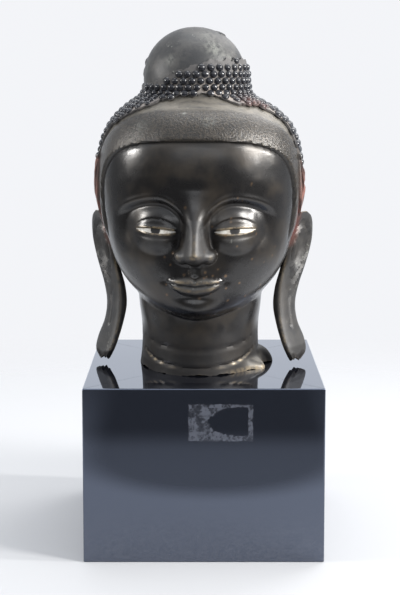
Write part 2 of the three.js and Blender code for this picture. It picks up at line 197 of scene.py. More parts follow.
@dataclass(frozen=True)
class FaceCarving:
    """The face's forms in fingers: how far each stands forward of the bare head."""

    brow_level: float = 12.75
    brow_middle: float = 2.7
    eye_level: float = 10.8
    eye_inner: float = 1.3
    eye_outer: float = 4.15
    eye_corner_level: float = 10.42
    eye_opening: float = 0.3
    mouth_level: float = 6.72
    nose: StationCurve = field(
        default_factory=lambda: StationCurve(
            [
                (7.95, 0, 1.3),
                (8.2, 0.25, 1.35),
                (8.45, 1.15, 1.4),
                (8.8, 1.66, 1.45),
                (9.25, 1.6, 1.3),
                (10.2, 1.16, 1.1),
                (11.2, 0.74, 1.1),
                (12.2, 0.34, 1.35),
                (13.4, 0, 1.9),
            ]
        )
    )

    def brow(self, across: Array, level: Array) -> Array:
        """The arched brow's fine ridge, over the hollow that holds the eye.

        Args:
            across: Distance from the nose's ridge.
            level: Height above the neck's edge.

        Returns:
            The rise, below 0 in the hollow.
        """
        inward = np.minimum(across - self.brow_middle, 0)
        outward = np.maximum(across - self.brow_middle, 0)
        below = self.brow_level - 0.3 * inward**2 - 0.11 * outward**2 - level
        width = smooth_step(0, 1.5, across) * smooth_step(6, 4.2, across)
        hollow = 0.52 * width * smooth_step(0, 0.7, below) * (1 - smooth_step(1, 3.6, below))
        line = smooth_step(0.3, 1.1, across) * smooth_step(5.8, 4.6, across)
        return 0.05 * line * bell(below + 0.1, 0.2) - hollow

    def lid_lines(self, across: Array) -> tuple[Array, Array, Array]:
        """The edges of the eye's opening.

        Args:
            across: Distance from the nose's ridge.

        Returns:
            The level of the lower edge, that of the upper edge, and the share of the way between the corners.
        """
        share = (across - self.eye_inner) / (self.eye_outer - self.eye_inner)
        middle = self.eye_corner_level + 0.12 * share
        swell = self.eye_opening / 2 * np.sin(np.pi * clamp01(share)) ** 0.8 + 0.02
        return middle - swell, middle + swell, share

    def eye(self, across: Array, level: Array) -> Array:
        """The eye's lids, with their rims and the crease above them.

        Args:
            across: Distance from the nose's ridge.
            level: Height above the neck's edge.

        Returns:
            The rise.
        """
        tall = np.where(level > self.eye_level, 1.6, 2.1)
        oval = np.maximum(0, 1 - ((across - 2.7) / 2.3) ** 2 - ((level - self.eye_level) / tall) ** 2)
        ball = 0.56 * smooth_step(0, 0.95, oval)
        lower, upper, share = self.lid_lines(across)
        along = smooth_step(-0.1, 0.08, share) * smooth_step(1.12, 0.94, share)
        arch = 0.52 * np.sin(np.pi * clamp01(share)) ** 0.5
        rims = 0.05 * bell(level - upper - 0.09, 0.08) + 0.04 * bell(level - lower + 0.07, 0.06)
        crease = 0.05 * bell(level - upper - 0.12 - arch, 0.06) + 0.025 * bell(level - lower + 0.34, 0.09)
        return ball + along * (rims - crease)

    def nose_forms(self, across: Array, level: Array) -> Array:
        """The nose's ridge, its wings and its nostrils.

        Args:
            across: Distance from the nose's ridge.
            level: Height above the neck's edge.

        Returns:
            The rise.
        """
        height, half_width = self.nose.at(level)
        ridge = height * (1 - clamp01(across / half_width) ** 2) ** 1.7
        inside = np.maximum(0, 1 - ((across - 0.9) / 0.62) ** 2 - ((level - 8.78) / 0.58) ** 2)
        wing = 0.78 * inside**0.8
        joint = smooth_step(0, 0.35, np.minimum(ridge, wing))
        joined = np.maximum(ridge, wing) * (1 - joint) + blended_max(ridge, wing, 0.5) * joint
        nostril = 0.26 * bell(across - 0.6, 0.24) * bell(level - 8.36, 0.13)
        return joined - nostril

    def mouth(self, across: Array, level: Array) -> Array:
        """The lips with their outlined edges, their corners and the groove above them.

        Args:
            across: Distance from the nose's ridge.
            level: Height above the neck's edge.

        Returns:
            The rise.
        """
        parting = self.mouth_level + 0.05 * across**2 - 0.05 * bell(across, 0.35)
        bow = 1 - 0.18 * bell(across, 0.22) + 0.06 * bell(across - 0.6, 0.3)
        upper_height = 0.62 * np.maximum(0, 1 - (across / 2.1) ** 2) ** 0.75 * bow + 0.01
        lower_height = 0.78 * np.maximum(0, 1 - (across / 1.9) ** 2) ** 0.65 + 0.01
        up = (level - parting) / upper_height
        down = -(level - parting) / lower_height
        upper = np.where(up < 0.35, 1 - 0.42 * (1 - up / 0.35) ** 2, 1 - 0.7 * ((up - 0.35) / 0.65) ** 2)
        lower = np.where(down < 0.45, 1 - 0.5 * (1 - down / 0.45) ** 2, 1 - ((down - 0.45) / 0.55) ** 2)
        lips = np.where((up >= 0) & (up <= 1), upper, 0) + np.where((down > 0) & (down <= 1), lower, 0)
        mound = 0.3 * bell(across, 2.2) * bell(level - 6.9, 1.3)
        corner = 0.1 * bell(across - 2.2, 0.3) * bell(level - 6.98, 0.26)
        groove = 0.09 * bell(across, 0.24) - 0.05 * bell(across - 0.45, 0.16)
        groove = groove * smooth_step(7.25, 7.5, level) * smooth_step(8.25, 8.0, level)
        return mound + 0.36 * lips * smooth_step(2.12, 1.0, across) ** 0.8 - corner - groove

    def chin_and_cheeks(self, across: Array, level: Array) -> Array:
        """The chin, the hollow above it and the cheeks.

        Args:
            across: Distance from the nose's ridge.
            level: Height above the neck's edge.

        Returns:
            The rise.
        """
        chin = 0.3 * bell(across, 1.5) * bell(level - 4.95, 0.75)
        under_lip = 0.14 * bell(across, 1.3) * bell(level - 5.8, 0.3)
        cheek = 0.26 * bell(across - 3.5, 1.8) * bell(level - 8.6, 1.6)
        return chin - under_lip + cheek

    def rise(self, across: Array, level: Array) -> Array:
        """All of the face's forms together.

        Args:
            across: Distance from the nose's ridge.
            level: Height above the neck's edge.

        Returns:
            The rise.
        """
        return (
            self.brow(across, level)
            + self.eye(across, level)
            + self.nose_forms(across, level)
            + self.mouth(across, level)
            + self.chin_and_cheeks(across, level)
        )


@dataclass
class HeadForm:
    """The head's form in fingers, from the neck's edge and the head's own axis, and its place in metres."""

    finger: float
    base_z: float
    offset_x: float = -0.003
    axis_back: float = 0.007
    turn: float = math.radians(-3)
    dome_radius: float = 3.72
    dome_base: float = 20.6
    dome_fullness: float = 2.2
    dome_lean: float = 0.37
    hairline_level: float = 16.6
    band_top: float = 18.8
    band_rise: float = 0.17
    lean_levels: tuple[float, float] = (17, 21)
    inner_turn: float = 1.24
    outer_turn: float = 1.5
    ear_line: tuple[float, float] = (9, 10.5)
    groove_at: float = 0.975
    groove_width: float = 0.028
    groove_depth: float = 0.065
    lump_reach: float = 0.95
    lump_angle: float = 1.62
    lump_top: float = 1.15
    flap_reach: float = 0.8
    flap_angle: float = 1.12
    crease_depths: tuple[float, float] = (0.075, 0.1)
    face: FaceCarving = field(default_factory=FaceCarving)
    egg: StationCurve = field(
        default_factory=lambda: StationCurve(
            [
                (3.8, 3.9, 2.0, 0.5),
                (4.1, 5.2, 2.2, 1.9),
                (4.6, 6.15, 2.7, 3.3),
                (5.4, 6.5, 3.7, 4.5),
                (6.6, 6.62, 5.1, 5.55),
                (8.2, 6.72, 6.2, 6.35),
                (10.2, 6.8, 6.8, 6.85),
                (12.4, 6.95, 7.05, 7.15),
                (14.2, 7.08, 7.0, 7.17),
                (16.2, 6.86, 6.5, 6.92),
                (17.6, 6.3, 5.9, 6.25),
                (18.6, 5.35, 4.95, 5.2),
                (19.4, 4.0, 3.75, 3.85),
                (20.4, 2.2, 2.2, 2.2),
            ]
        )
    )
    neck: StationCurve = field(
        default_factory=lambda: StationCurve(
            [
                (0, 5.25, 3.95, 4.4),
                (1.2, 5.05, 3.9, 4.27),
                (3, 4.95, 4.15, 4.27),
                (4.5, 4.9, 4.7, 4.45),
                (6, 4.8, 5.2, 4.55),
                (8, 4.4, 5.4, 4.4),
            ]
        )
    )

    @staticmethod
    def section(front: Array, back: Array, side: Array, angle: Array, squareness: float) -> Array:
        """The distance from the axis to a rounded section's edge.

        Args:
            front: Reach to the front.
            back: Reach to the back.
            side: Reach to each side.
            angle: 0 at the front, growing towards +X.
            squareness: 2 for an ellipse, more for a squarer section.

        Returns:
            The distance at each angle.
        """
        forward = np.cos(angle)
        depth = (front * (1 + forward) + back * (1 - forward)) / 2
        total = np.abs(np.sin(angle) / side) ** squareness + np.abs(forward / depth) ** squareness
        return total ** (-1 / squareness)

    def lean(self, level: Array) -> Array:
        """How far the dome leans towards -X at a level."""
        return self.dome_lean * smooth_step(*self.lean_levels, level)

    def dome_reach(self, level: Array) -> Array:
        """The reach of the dome on top of the head."""
        rise = clamp01((level - self.dome_base) / (FINGERS - self.dome_base))
        return self.dome_radius * np.sqrt(1 - rise**self.dome_fullness) * smooth_step(15, 17, level)

    def neck_edge(self, level: Array, angle: Array) -> Array:
        """The broken flap and lump of metal that spread from the neck's edge on one side.

        Args:
            level: Height above the neck's edge.
            angle: The angle round from the front.

        Returns:
            How far they add to the neck's reach.
        """
        lump = bell(angle - self.lump_angle, 0.2) * np.sqrt(1 - clamp01(level / self.lump_top) ** 2)
        flap = bell(angle - self.flap_angle, 0.17) * smooth_step(0.85, 0.2, level)
        return self.lump_reach * lump + self.flap_reach * flap

    def neck_creases(self, level: Array, angle: Array) -> Array:
        """The depth of the two lines carved round the neck.

        Args:
            level: Height above the neck's edge.
            angle: The angle round from the front.

        Returns:
            Their depth in fingers.
        """
        upper = self.crease_depths[0] * bell(level - self.upper_crease(angle), 0.1)
        lower = self.crease_depths[1] * bell(level - self.lower_crease(angle), 0.08)
        return (upper + lower) * smooth_step(1.6, 1.0, np.abs(angle))

    @staticmethod
    def upper_crease(angle: Array) -> Array:
        """The level of the upper line carved round the neck."""
        return 2.75 - 0.95 * np.cos(angle)

    @staticmethod
    def lower_crease(angle: Array) -> Array:
        """The level of the lower line carved round the neck."""
        return 2.05 - 1.5 * np.cos(angle)

    def body_reach(self, level: Array, angle: Array) -> Array:
        """The reach of the head without its face.

        Args:
            level: Height above the neck's edge.
            angle: The angle round from the front.

        Returns:
            The distance from the axis.
        """
        egg = np.where(
            (level > 3.8) & (level < 20.4), self.section(*self.egg.at(level), angle, 2.2), 0
        )
        neck = self.section(*self.neck.at(level), angle, 2) * (1 - smooth_step(8, 10, level))
        neck = neck + self.neck_edge(level, angle)
        return blended_max(blended_max(egg, neck, 0.45), self.dome_reach(level), 0.7)

    def band_oval(self, level: Array, angle: Array, side_turn: float, top_level: float) -> Array:
        """1 on the oval that runs over the head from ear to ear, less inside it.

        Args:
            level: Height above the neck's edge.
            angle: The angle round from the front.
            side_turn: The oval's half width, in radians.
            top_level: The oval's highest level.

        Returns:
            The oval's value.
        """
        side_level = 9.5
        climb = np.maximum(0, level - side_level) / (top_level - side_level)
        return (np.abs(angle) / side_turn) ** 3.2 + climb**3.2

    def inner_oval(self, level: Array, angle: Array) -> Array:
        """1 on the hair band's edge towards the face, less on the face."""
        return self.band_oval(level, angle, self.inner_turn, self.hairline_level)

    def outer_oval(self, level: Array, angle: Array) -> Array:
        """1 on the hair band's edge towards the hair, less inside it."""
        return self.band_oval(level, angle, self.outer_turn, self.band_top)

    def band_height(self, level: Array, angle: Array) -> Array:
        """How far the hair band stands out, with the groove along the face's side of it.

        Args:
            level: Height above the neck's edge.
            angle: The angle round from the front.

        Returns:
            The height in fingers, below 0 in the groove.
        """
        inner = self.inner_oval(level, angle)
        outer = self.outer_oval(level, angle)
        above_ear = smooth_step(*self.ear_line, level)
        groove = self.groove_depth * bell(inner - self.groove_at, self.groove_width) * above_ear
        edges = smooth_step(0.985, 1.045, inner) * (1 - smooth_step(0.9, 1.02, outer))
        return self.band_rise * edges * above_ear - groove

    def body_points(self, level: Array, angle: Array) -> Array:
        """Points of the head without its face.

        Args:
            level: Height above the neck's edge.
            angle: The angle round from the front.

        Returns:
            Points in fingers, with x, y and z last.
        """
        reach = self.body_reach(level, angle) + self.band_height(level, angle)
        lean = self.lean(level)
        return np.stack([reach * np.sin(angle) - lean, -reach * np.cos(angle), level + 0 * angle], axis=-1)

    def skin_points(self, level: Array, angle: Array) -> Array:
        """Points of the head with its face and its carved neck.

        Args:
            level: Height above the neck's edge.
            angle: The angle round from the front.

        Returns:
            Points in fingers, with x, y and z last.
        """
        points = self.body_points(level, angle)
        facing = smooth_step(-1.2, -3.2, points[..., 1])
        points[..., 1] -= facing * self.face.rise(np.abs(points[..., 0]), points[..., 2])
        crease = self.neck_creases(level, angle)
        points[..., 0] -= crease * np.sin(angle)
        points[..., 1] += crease * np.cos(angle)
        return points

    def lifted_points(self, level: Array, angle: Array, lift: Array) -> Array:
        """Points carried outwards, square to the head without its face.

        Args:
            level: Height above the neck's edge.
            angle: The angle round from the front.
            lift: How far to carry them, in fingers.

        Returns:
            Points in fingers, with x, y and z last.
        """
        step = 0.02
        high = np.minimum(level + step, FINGERS - step)
        low = np.maximum(level - step, 0)
        up = self.body_points(high, angle) - self.body_points(low, angle)
        across = self.body_points(level, angle + step) - self.body_points(level, angle - step)
        normal = np.cross(across, up)
        normal /= np.linalg.norm(normal, axis=-1, keepdims=True)
        return self.body_points(level, angle) + normal * np.asarray(lift)[..., None]

    def front_y(self, x: Array, level: Array) -> Array:
        """The y of the face's surface at a distance across and a level.

        Args:
            x: Distance from the nose's ridge, 0 or more.
            level: Height above the neck's edge.

        Returns:
            The surface's y in fingers.
        """
        low = np.zeros_like(x)
        high = np.full_like(x, 1.4)
        for _ in range(30):
            middle = (low + high) / 2
            short = self.body_points(level, middle)[..., 0] < x
            low = np.where(short, middle, low)
            high = np.where(short, high, middle)
        return self.skin_points(level, (low + high) / 2)[..., 1]

    def to_world(self, points: Array) -> Array:
        """Turns points in fingers on the head's own axis into metres in the object's frame.

        Args:
            points: Points in fingers, with x, y and z last.

        Returns:
            Points in metres.
        """
        c, s = math.cos(self.turn), math.sin(self.turn)
        x, y, z = np.moveaxis(points * self.finger, -1, 0)
        across = c * x - s * y + self.offset_x
        along = s * x + c * y + self.axis_back
        return np.stack([across, along, z + self.base_z], axis=-1)

    def from_world(self, points: Array) -> Array:
        """Turns points in metres into fingers on the head's own axis.

        Args:
            points: Points in metres, one to a row.

        Returns:
            Points in fingers.
        """
        c, s = math.cos(self.turn), math.sin(self.turn)
        x, y = points[:, 0] - self.offset_x, points[:, 1] - self.axis_back
        return np.stack([c * x + s * y, -s * x + c * y, points[:, 2] - self.base_z], axis=-1) / self.finger


def grid_faces(rows: int, columns: int) -> list[tuple[int, ...]]:
    """Quads over rows of points that each close on themselves.

    Args:
        rows: How many rows there are.
        columns: How many points each row has.

    Returns:
        The quads, facing outwards where the rows rise and run anticlockwise from above.
    """
    index = np.arange(rows * columns).reshape(rows, columns)
    after = np.roll(index, -1, axis=1)
    quads = np.stack([index[:-1], after[:-1], after[1:], index[1:]], axis=-1)
    return [tuple(quad) for quad in quads.reshape(-1, 4).tolist()]


def ring_solid(rings: Array, bottom: Array, top: Array) -> tuple[Array, list[tuple[int, ...]]]:
    """A closed surface over rings of points, between a point below them and a point above them.

    Args:
        rings: Points in rows, with x, y and z last.
        bottom: The point that closes the first row.
        top: The point that closes the last row.

    Returns:
        The points and the faces.
    """
    rows, columns = rings.shape[:2]
    points = np.concatenate([rings.reshape(-1, 3), [bottom], [top]])
    faces = grid_faces(rows, columns)
    last = (rows - 1) * columns
    for i in range(columns):
        after = (i + 1) % columns
        faces.append((rows * columns, after, i))
        faces.append((rows * columns + 1, last + i, last + after))
    return points, faces


def mesh_object(name: str, points: Array, faces: Sequence[Sequence[int]]) -> bpy.types.Object:
    """Makes a mesh object at the origin, in the scene's collection.

    Args:
        name: The object's name.
        points: Its vertices in metres.
        faces: Its faces.

    Returns:
        The new object.
    """
    mesh = bpy.data.meshes.new(name)
    mesh.from_pydata(np.asarray(points, float).tolist(), [], faces)
    mesh.update()
    made = bpy.data.objects.new(name, mesh)
    bpy.context.scene.collection.objects.link(made)
    return made


class Joining(Enum):
    """What a boolean does with the second solid."""

    UNION = "UNION"
    DIFFERENCE = "DIFFERENCE"


def combine(body: bpy.types.Object, tool: bpy.types.Object, joining: Joining) -> None:
    """Joins a tool to a body, or cuts the body with it, and removes the tool.

    Args:
        body: The object that changes.
        tool: The second solid.
        joining: What to do with it.
    """
    modifier = body.modifiers.new(joining.value, "BOOLEAN")
    modifier.operation = joining.value
    modifier.solver = "MANIFOLD"
    modifier.object = tool
    graph = bpy.context.evaluated_depsgraph_get()
    made = bpy.data.meshes.new_from_object(body.evaluated_get(graph))
    made.name = body.name
    made.validate()
    body.modifiers.clear()
    body.data = made
    bpy.data.objects.remove(tool)


def vertex_points(mesh: bpy.types.Mesh) -> Array:
    """The mesh's vertices.

    Args:
        mesh: The mesh to read.

    Returns:
        Their places in metres, one to a row.
    """
    flat = np.zeros(len(mesh.vertices) * 3, np.float32)
    mesh.vertices.foreach_get("co", flat)
    return flat.reshape(-1, 3).astype(float)


def set_attribute(mesh: bpy.types.Mesh, name: str, values: Array) -> None:
    """Stores a number on every vertex for the materials to read."""
    attribute = mesh.attributes.new(name, "FLOAT", "POINT")
    attribute.data.foreach_set("value", np.asarray(values, np.float32))


def curvature(mesh: bpy.types.Mesh, rounds: int) -> Array:
    """How far each vertex stands out of its neighbours, smoothed.

    Args:
        mesh: The mesh to read.
        rounds: How many times to smooth the result.

    Returns:
        The curvature in one over metres, above 0 on ridges and below 0 in hollows.
    """
    points = vertex_points(mesh)
    normals = np.zeros(len(points) * 3, np.float32)
    mesh.vertices.foreach_get("normal", normals)
    normals = normals.reshape(-1, 3)
    edges = np.zeros(len(mesh.edges) * 2, np.int32)
    mesh.edges.foreach_get("vertices", edges)
    a, b = edges.reshape(-1, 2).T
    step = points[b] - points[a]
    length = np.maximum(np.linalg.norm(step, axis=1), 1e-6) ** 2
    total = np.zeros(len(points))
    count = np.zeros(len(points))
    np.add.at(total, a, -(step * normals[a]).sum(1) / length)
    np.add.at(total, b, (step * normals[b]).sum(1) / length)
    np.add.at(count, a, 1)
    np.add.at(count, b, 1)
    value = 2 * total / np.maximum(count, 1)
    for _ in range(rounds):
        near = np.zeros(len(points))
        np.add.at(near, a, value[b])
        np.add.at(near, b, value[a])
        value = 0.4 * value + 0.6 * near / np.maximum(count, 1)
    return value


def shade(mesh: bpy.types.Mesh, sharp_degrees: float) -> None:
    """Shades the mesh smoothly, apart from edges that bend by more than an angle."""
    mesh.shade_smooth()
    mesh.set_sharp_from_angle(angle=math.radians(sharp_degrees))


class Recipe:
    """A material while it is made: its nodes and the Principled shader that they feed."""

    def __init__(self, name: str) -> None:
        """Starts the material.

        Args:
            name: The material's name.
        """
        self.material = bpy.data.materials.new(name)
        self.material.use_nodes = True
        self.tree = self.material.node_tree
        self.shader = self.tree.nodes["Principled BSDF"]
        self.place = self.node("ShaderNodeTexCoord").outputs["Object"]

    def node(self, kind: str, **settings: object) -> bpy.types.Node:
        """Adds a node.

        Args:
            kind: The node's type.
            **settings: Its settings by name.

        Returns:
            The new node.
        """
        made = self.tree.nodes.new(kind)
        for name, value in settings.items():
            setattr(made, name, value)
        return made

    def feed(self, socket: bpy.types.NodeSocket, value: object) -> None:
        """Links a socket to another one, or sets it.

        Args:
            socket: The socket that takes the value.
            value: Another node's socket, or a number, place or colour.
        """
        if isinstance(value, bpy.types.NodeSocket):
            self.tree.links.new(value, socket)
        elif isinstance(value, tuple) and len(value) == 3:
            socket.default_value = (*value, 1) if socket.type == "RGBA" else value
        else:
            socket.default_value = value

    def set(self, **sockets: object) -> None:
        """Feeds the shader's sockets, named with underscores for spaces."""
        for name, value in sockets.items():
            self.feed(self.shader.inputs[name.replace("_", " ")], value)

    def attribute(self, name: str) -> bpy.types.NodeSocket:
        """Reads a number stored on the vertices."""
        return self.node("ShaderNodeAttribute", attribute_name=name).outputs["Fac"]

    def stretched(self, scale: tuple[float, float, float]) -> bpy.types.NodeSocket:
        """The object's own place, stretched along the axes.

        Args:
            scale: The factor along each axis.

        Returns:
            The stretched place's socket.
        """
        mapping = self.node("ShaderNodeMapping")
        self.feed(mapping.inputs["Vector"], self.place)
        self.feed(mapping.inputs["Scale"], scale)
        return mapping.outputs["Vector"]

    def noise(
        self, size: float, detail: float = 3, roughness: float = 0.5, place: object = None
    ) -> bpy.types.NodeSocket:
        """Noise between 0 and 1.

        Args:
            size: The size of its largest lumps, in metres.
            detail: How many finer layers it has.
            roughness: How strong they are.
            place: Where to read it, or None for the object's own place.

        Returns:
            The noise's socket.
        """
        made = self.node("ShaderNodeTexNoise")
        self.feed(made.inputs["Vector"], place or self.place)
        self.feed(made.inputs["Scale"], 1 / size)
        self.feed(made.inputs["Detail"], detail)
        self.feed(made.inputs["Roughness"], roughness)
        return made.outputs["Fac"]

    def between(self, value: object, low: float, high: float) -> bpy.types.NodeSocket:
        """Rises smoothly from 0 to 1.

        Args:
            value: The number to read.
            low: Where the result is 0.
            high: Where the result is 1. It may be below low.

        Returns:
            The risen share's socket.
        """
        made = self.node("ShaderNodeMapRange", interpolation_type="SMOOTHSTEP")
        self.feed(made.inputs["Value"], value)
        self.feed(made.inputs["From Min"], low)
        self.feed(made.inputs["From Max"], high)
        return made.outputs["Result"]

    def math(self, operation: str, a: object, b: object) -> bpy.types.NodeSocket:
        """Works out one number from two.

        Args:
            operation: What to do with them.
            a: The first number.
            b: The second number.

        Returns:
            The result's socket.
        """
        made = self.node("ShaderNodeMath", operation=operation)
        self.feed(made.inputs[0], a)
        self.feed(made.inputs[1], b)
        return made.outputs[0]

    def mixed(self, share: object, a: object, b: object) -> bpy.types.NodeSocket:
        """Mixes two colours.

        Args:
            share: How much of the second one there is.
            a: The first colour.
            b: The second colour.

        Returns:
            The mixed colour's socket.
        """
        made = self.node("ShaderNodeMix", data_type="RGBA", clamp_factor=True)
        self.feed(made.inputs[0], share)
        self.feed(made.inputs[6], a)
        self.feed(made.inputs[7], b)
        return made.outputs[2]

    def blend(self, share: object, a: object, b: object) -> bpy.types.NodeSocket:
        """Mixes two numbers.

        Args:
            share: How much of the second one there is.
            a: The first number.
            b: The second number.

        Returns:
            The mixed number's socket.
        """
        made = self.node("ShaderNodeMix", data_type="FLOAT", clamp_factor=True)
        self.feed(made.inputs[0], share)
        self.feed(made.inputs[2], a)
        self.feed(made.inputs[3], b)
        return made.outputs[0]

    def bump(
        self, height: object, distance: float, strength: object = 1.0, under: object = None
    ) -> bpy.types.NodeSocket:
        """Turns a height into a bump.

        Args:
            height: The height, from 0 to 1.
            distance: The real height of 1, in metres.
            strength: How strongly it shows.
            under: Another bump that this one lies on, or None.

        Returns:
            The normal's socket.
        """
        made = self.node("ShaderNodeBump")
        self.feed(made.inputs["Height"], height)
        self.feed(made.inputs["Distance"], distance)
        self.feed(made.inputs["Strength"], strength)
        if under is not None:
            self.feed(made.inputs["Normal"], under)
        return made.outputs["Normal"]


Colour = tuple[float, float, float]


@dataclass(frozen=True)
class BronzeFinish:
    """Dark patinated bronze: glossy on the face, granular on the band, dull and spotted where it is bare."""

    dark: Colour = (0.012, 0.011, 0.011)
    brown: Colour = (0.032, 0.025, 0.018)
    band: Colour = (0.05, 0.04, 0.029)
    band_dark: Colour = (0.016, 0.014, 0.012)
    bare: Colour = (0.062, 0.06, 0.058)
    bare_dark: Colour = (0.028, 0.029, 0.031)
    pale: Colour = (0.2, 0.18, 0.147)
    green: Colour = (0.2, 0.206, 0.185)
    # Brassy colour of worn ridges, also used for painted highlights along the flap's broken edge and the
    # lower neck crease.
    worn: Colour = (0.5, 0.38, 0.22)
    # Dark colour laid by the cavity mask on hollows, the groove, the lump, the lobe tips and the lower neck:
    # partly grime, partly painted shade.
    dirt: Colour = (0.01, 0.009, 0.009)
    spot: Colour = (0.2, 0.12, 0.06)
    red: Colour = (0.14, 0.045, 0.035)
    smooth_rough: tuple[float, float] = (0.25, 0.34)
    dull_rough: float = 0.52
    band_rough: float = 0.34
    # Where the cavity mask paints shade, the bronze is also rougher and reflects less (shine), so those parts
    # look darker.
    grime_and_shade_rough: float = 0.7
    shine: tuple[float, float] = (0.5, 0.12)
    metallic: float = 0.35
    ior: float = 1.75

    def material(self) -> bpy.types.Material:
        """Makes the material.

        Returns:
            The bronze, which reads the vertices' masks.
        """
        r = Recipe("patinated_bronze")
        bare = r.attribute("bare")
        band = r.attribute("band")
        wear_and_highlight = r.attribute("wear_and_highlight")
        cavity = r.attribute("cavity")
        cloudy = r.noise(0.03, 4, 0.55)
        fine = r.noise(0.004, 3, 0.6)
        grain = r.noise(0.0018, 3, 0.7)
        skin = r.mixed(r.between(cloudy, 0.42, 0.7), self.dark, self.brown)
        metal = r.mixed(r.between(r.noise(0.014, 5, 0.65), 0.38, 0.64), self.bare_dark, self.bare)
        specks = r.between(r.noise(0.003, 2, 0.7), 0.6, 0.68)
        patches = r.between(r.noise(0.02, 2, 0.5), 0.52, 0.62)
        metal = r.mixed(r.math("MULTIPLY", specks, patches), metal, self.green)
        fillet = r.mixed(r.between(grain, 0.4, 0.62), self.band_dark, self.band)
        colour = r.mixed(bare, skin, metal)
        colour = r.mixed(band, colour, fillet)
        colour = r.mixed(r.attribute("spots"), colour, self.spot)
        streaks = r.between(r.noise(0.006, 4, 0.65, r.stretched((0.4, 1, 1))), 0.2, 0.6)
        colour = r.mixed(r.math("MULTIPLY", r.attribute("pale"), streaks), colour, self.pale)
        bloom = r.math("MULTIPLY", r.attribute("bloom"), r.between(r.noise(0.0035, 4, 0.7), 0.36, 0.6))
        colour = r.mixed(bloom, colour, self.green)
        # Worn ridges, with painted highlights on the broken edge and the crease's rim.
        worn = r.math("MULTIPLY", wear_and_highlight, r.between(fine, 0.3, 0.6))
        colour = r.mixed(worn, colour, self.worn)
        # Painted shade with some grime: hollows, the groove, the lobe tips and the lower neck are darkened.
        colour = r.mixed(cavity, colour, self.dirt)
        colour = r.mixed(r.attribute("red"), colour, self.red)
        rough = r.blend(r.between(cloudy, 0.3, 0.7), *self.smooth_rough)
        rough = r.blend(r.attribute("dull"), rough, self.dull_rough)
        rough = r.blend(band, rough, self.band_rough)
        rough = r.blend(cavity, rough, self.grime_and_shade_rough)
        granular = r.bump(grain, 0.0006, r.blend(band, 0.06, 0.9))
        pits = r.bump(r.noise(0.006, 4, 0.7), 0.0005, r.blend(bare, 0.12, 0.5), granular)
        r.set(Base_Color=colour, Metallic=self.metallic, Roughness=rough, IOR=self.ior, Normal=pits)
        # Less reflection where shade is painted.
        r.set(Specular_IOR_Level=r.blend(cavity, *self.shine))
        return r.material


@dataclass(frozen=True)
class LacquerFinish:
    """Dark glossy lacquer curls over a dusty layer, with red-brown traces."""

    dark: Colour = (0.017, 0.018, 0.023)
    # Dark colour between the curls; near the layer's lower rim it is a painted shadow under the edge.
    grime_and_shade: Colour = (0.095, 0.091, 0.09)
    dust: Colour = (0.27, 0.245, 0.225)
    pale: Colour = (0.52, 0.46, 0.41)
    red: Colour = (0.27, 0.115, 0.09)
    brown: Colour = (0.12, 0.075, 0.062)
    layer_rough: float = 0.65
    curl_rough: float = 0.24
    ior: float = 1.5

    def material(self) -> bpy.types.Material:
        """Makes the material.

        Returns:
            The lacquer, which reads how high each vertex stands on its curl.
        """
        r = Recipe("curled_lacquer")
        height = r.attribute("height")
        cloudy = r.noise(0.02, 3, 0.6)
        fine = r.noise(0.0025, 3, 0.6)
        dirt = r.mixed(r.between(cloudy, 0.42, 0.6), self.dust, self.pale)
        valley = r.mixed(r.attribute("dusty"), self.grime_and_shade, dirt)
        lift = r.math("ADD", height, r.math("MULTIPLY", r.math("SUBTRACT", fine, 0.5), 0.5))
        high = r.between(lift, 0.02, 0.32)
        red = r.attribute("red")
        colour = r.mixed(high, valley, self.dark)
        streaks = r.noise(0.004, 3, 0.6, r.stretched((1, 1, 0.3)))
        colour = r.mixed(red, colour, r.mixed(r.between(streaks, 0.35, 0.65), self.red, self.brown))
        glossy = r.math("MULTIPLY", high, r.math("SUBTRACT", 1.0, red))
        rough = r.blend(glossy, self.layer_rough, self.curl_rough)
        normal = r.bump(r.noise(0.0012, 3, 0.6), 0.0002, 0.5)
        r.set(Base_Color=colour, Roughness=rough, IOR=self.ior, Normal=normal)
        return r.material


@dataclass(frozen=True)
class ShellFinish:
    """Off-white shell with a dark iris."""

    shell: Colour = (0.62, 0.6, 0.55)
    stain: Colour = (0.34, 0.3, 0.25)
    iris: Colour = (0.01, 0.009, 0.009)

    def material(self) -> bpy.types.Material:
        """Makes the material.

        Returns:
            The shell, which reads where the iris is from the vertices.
        """
        r = Recipe("shell_inlay")
        cloudy = r.noise(0.004, 4, 0.65)
        colour = r.mixed(r.between(cloudy, 0.42, 0.75), self.shell, self.stain)
        colour = r.mixed(r.attribute("iris"), colour, self.iris)
        normal = r.bump(r.noise(0.0015, 2, 0.5), 0.0001, 0.4)
        r.set(Base_Color=colour, Roughness=0.28, Normal=normal)
        return r.material


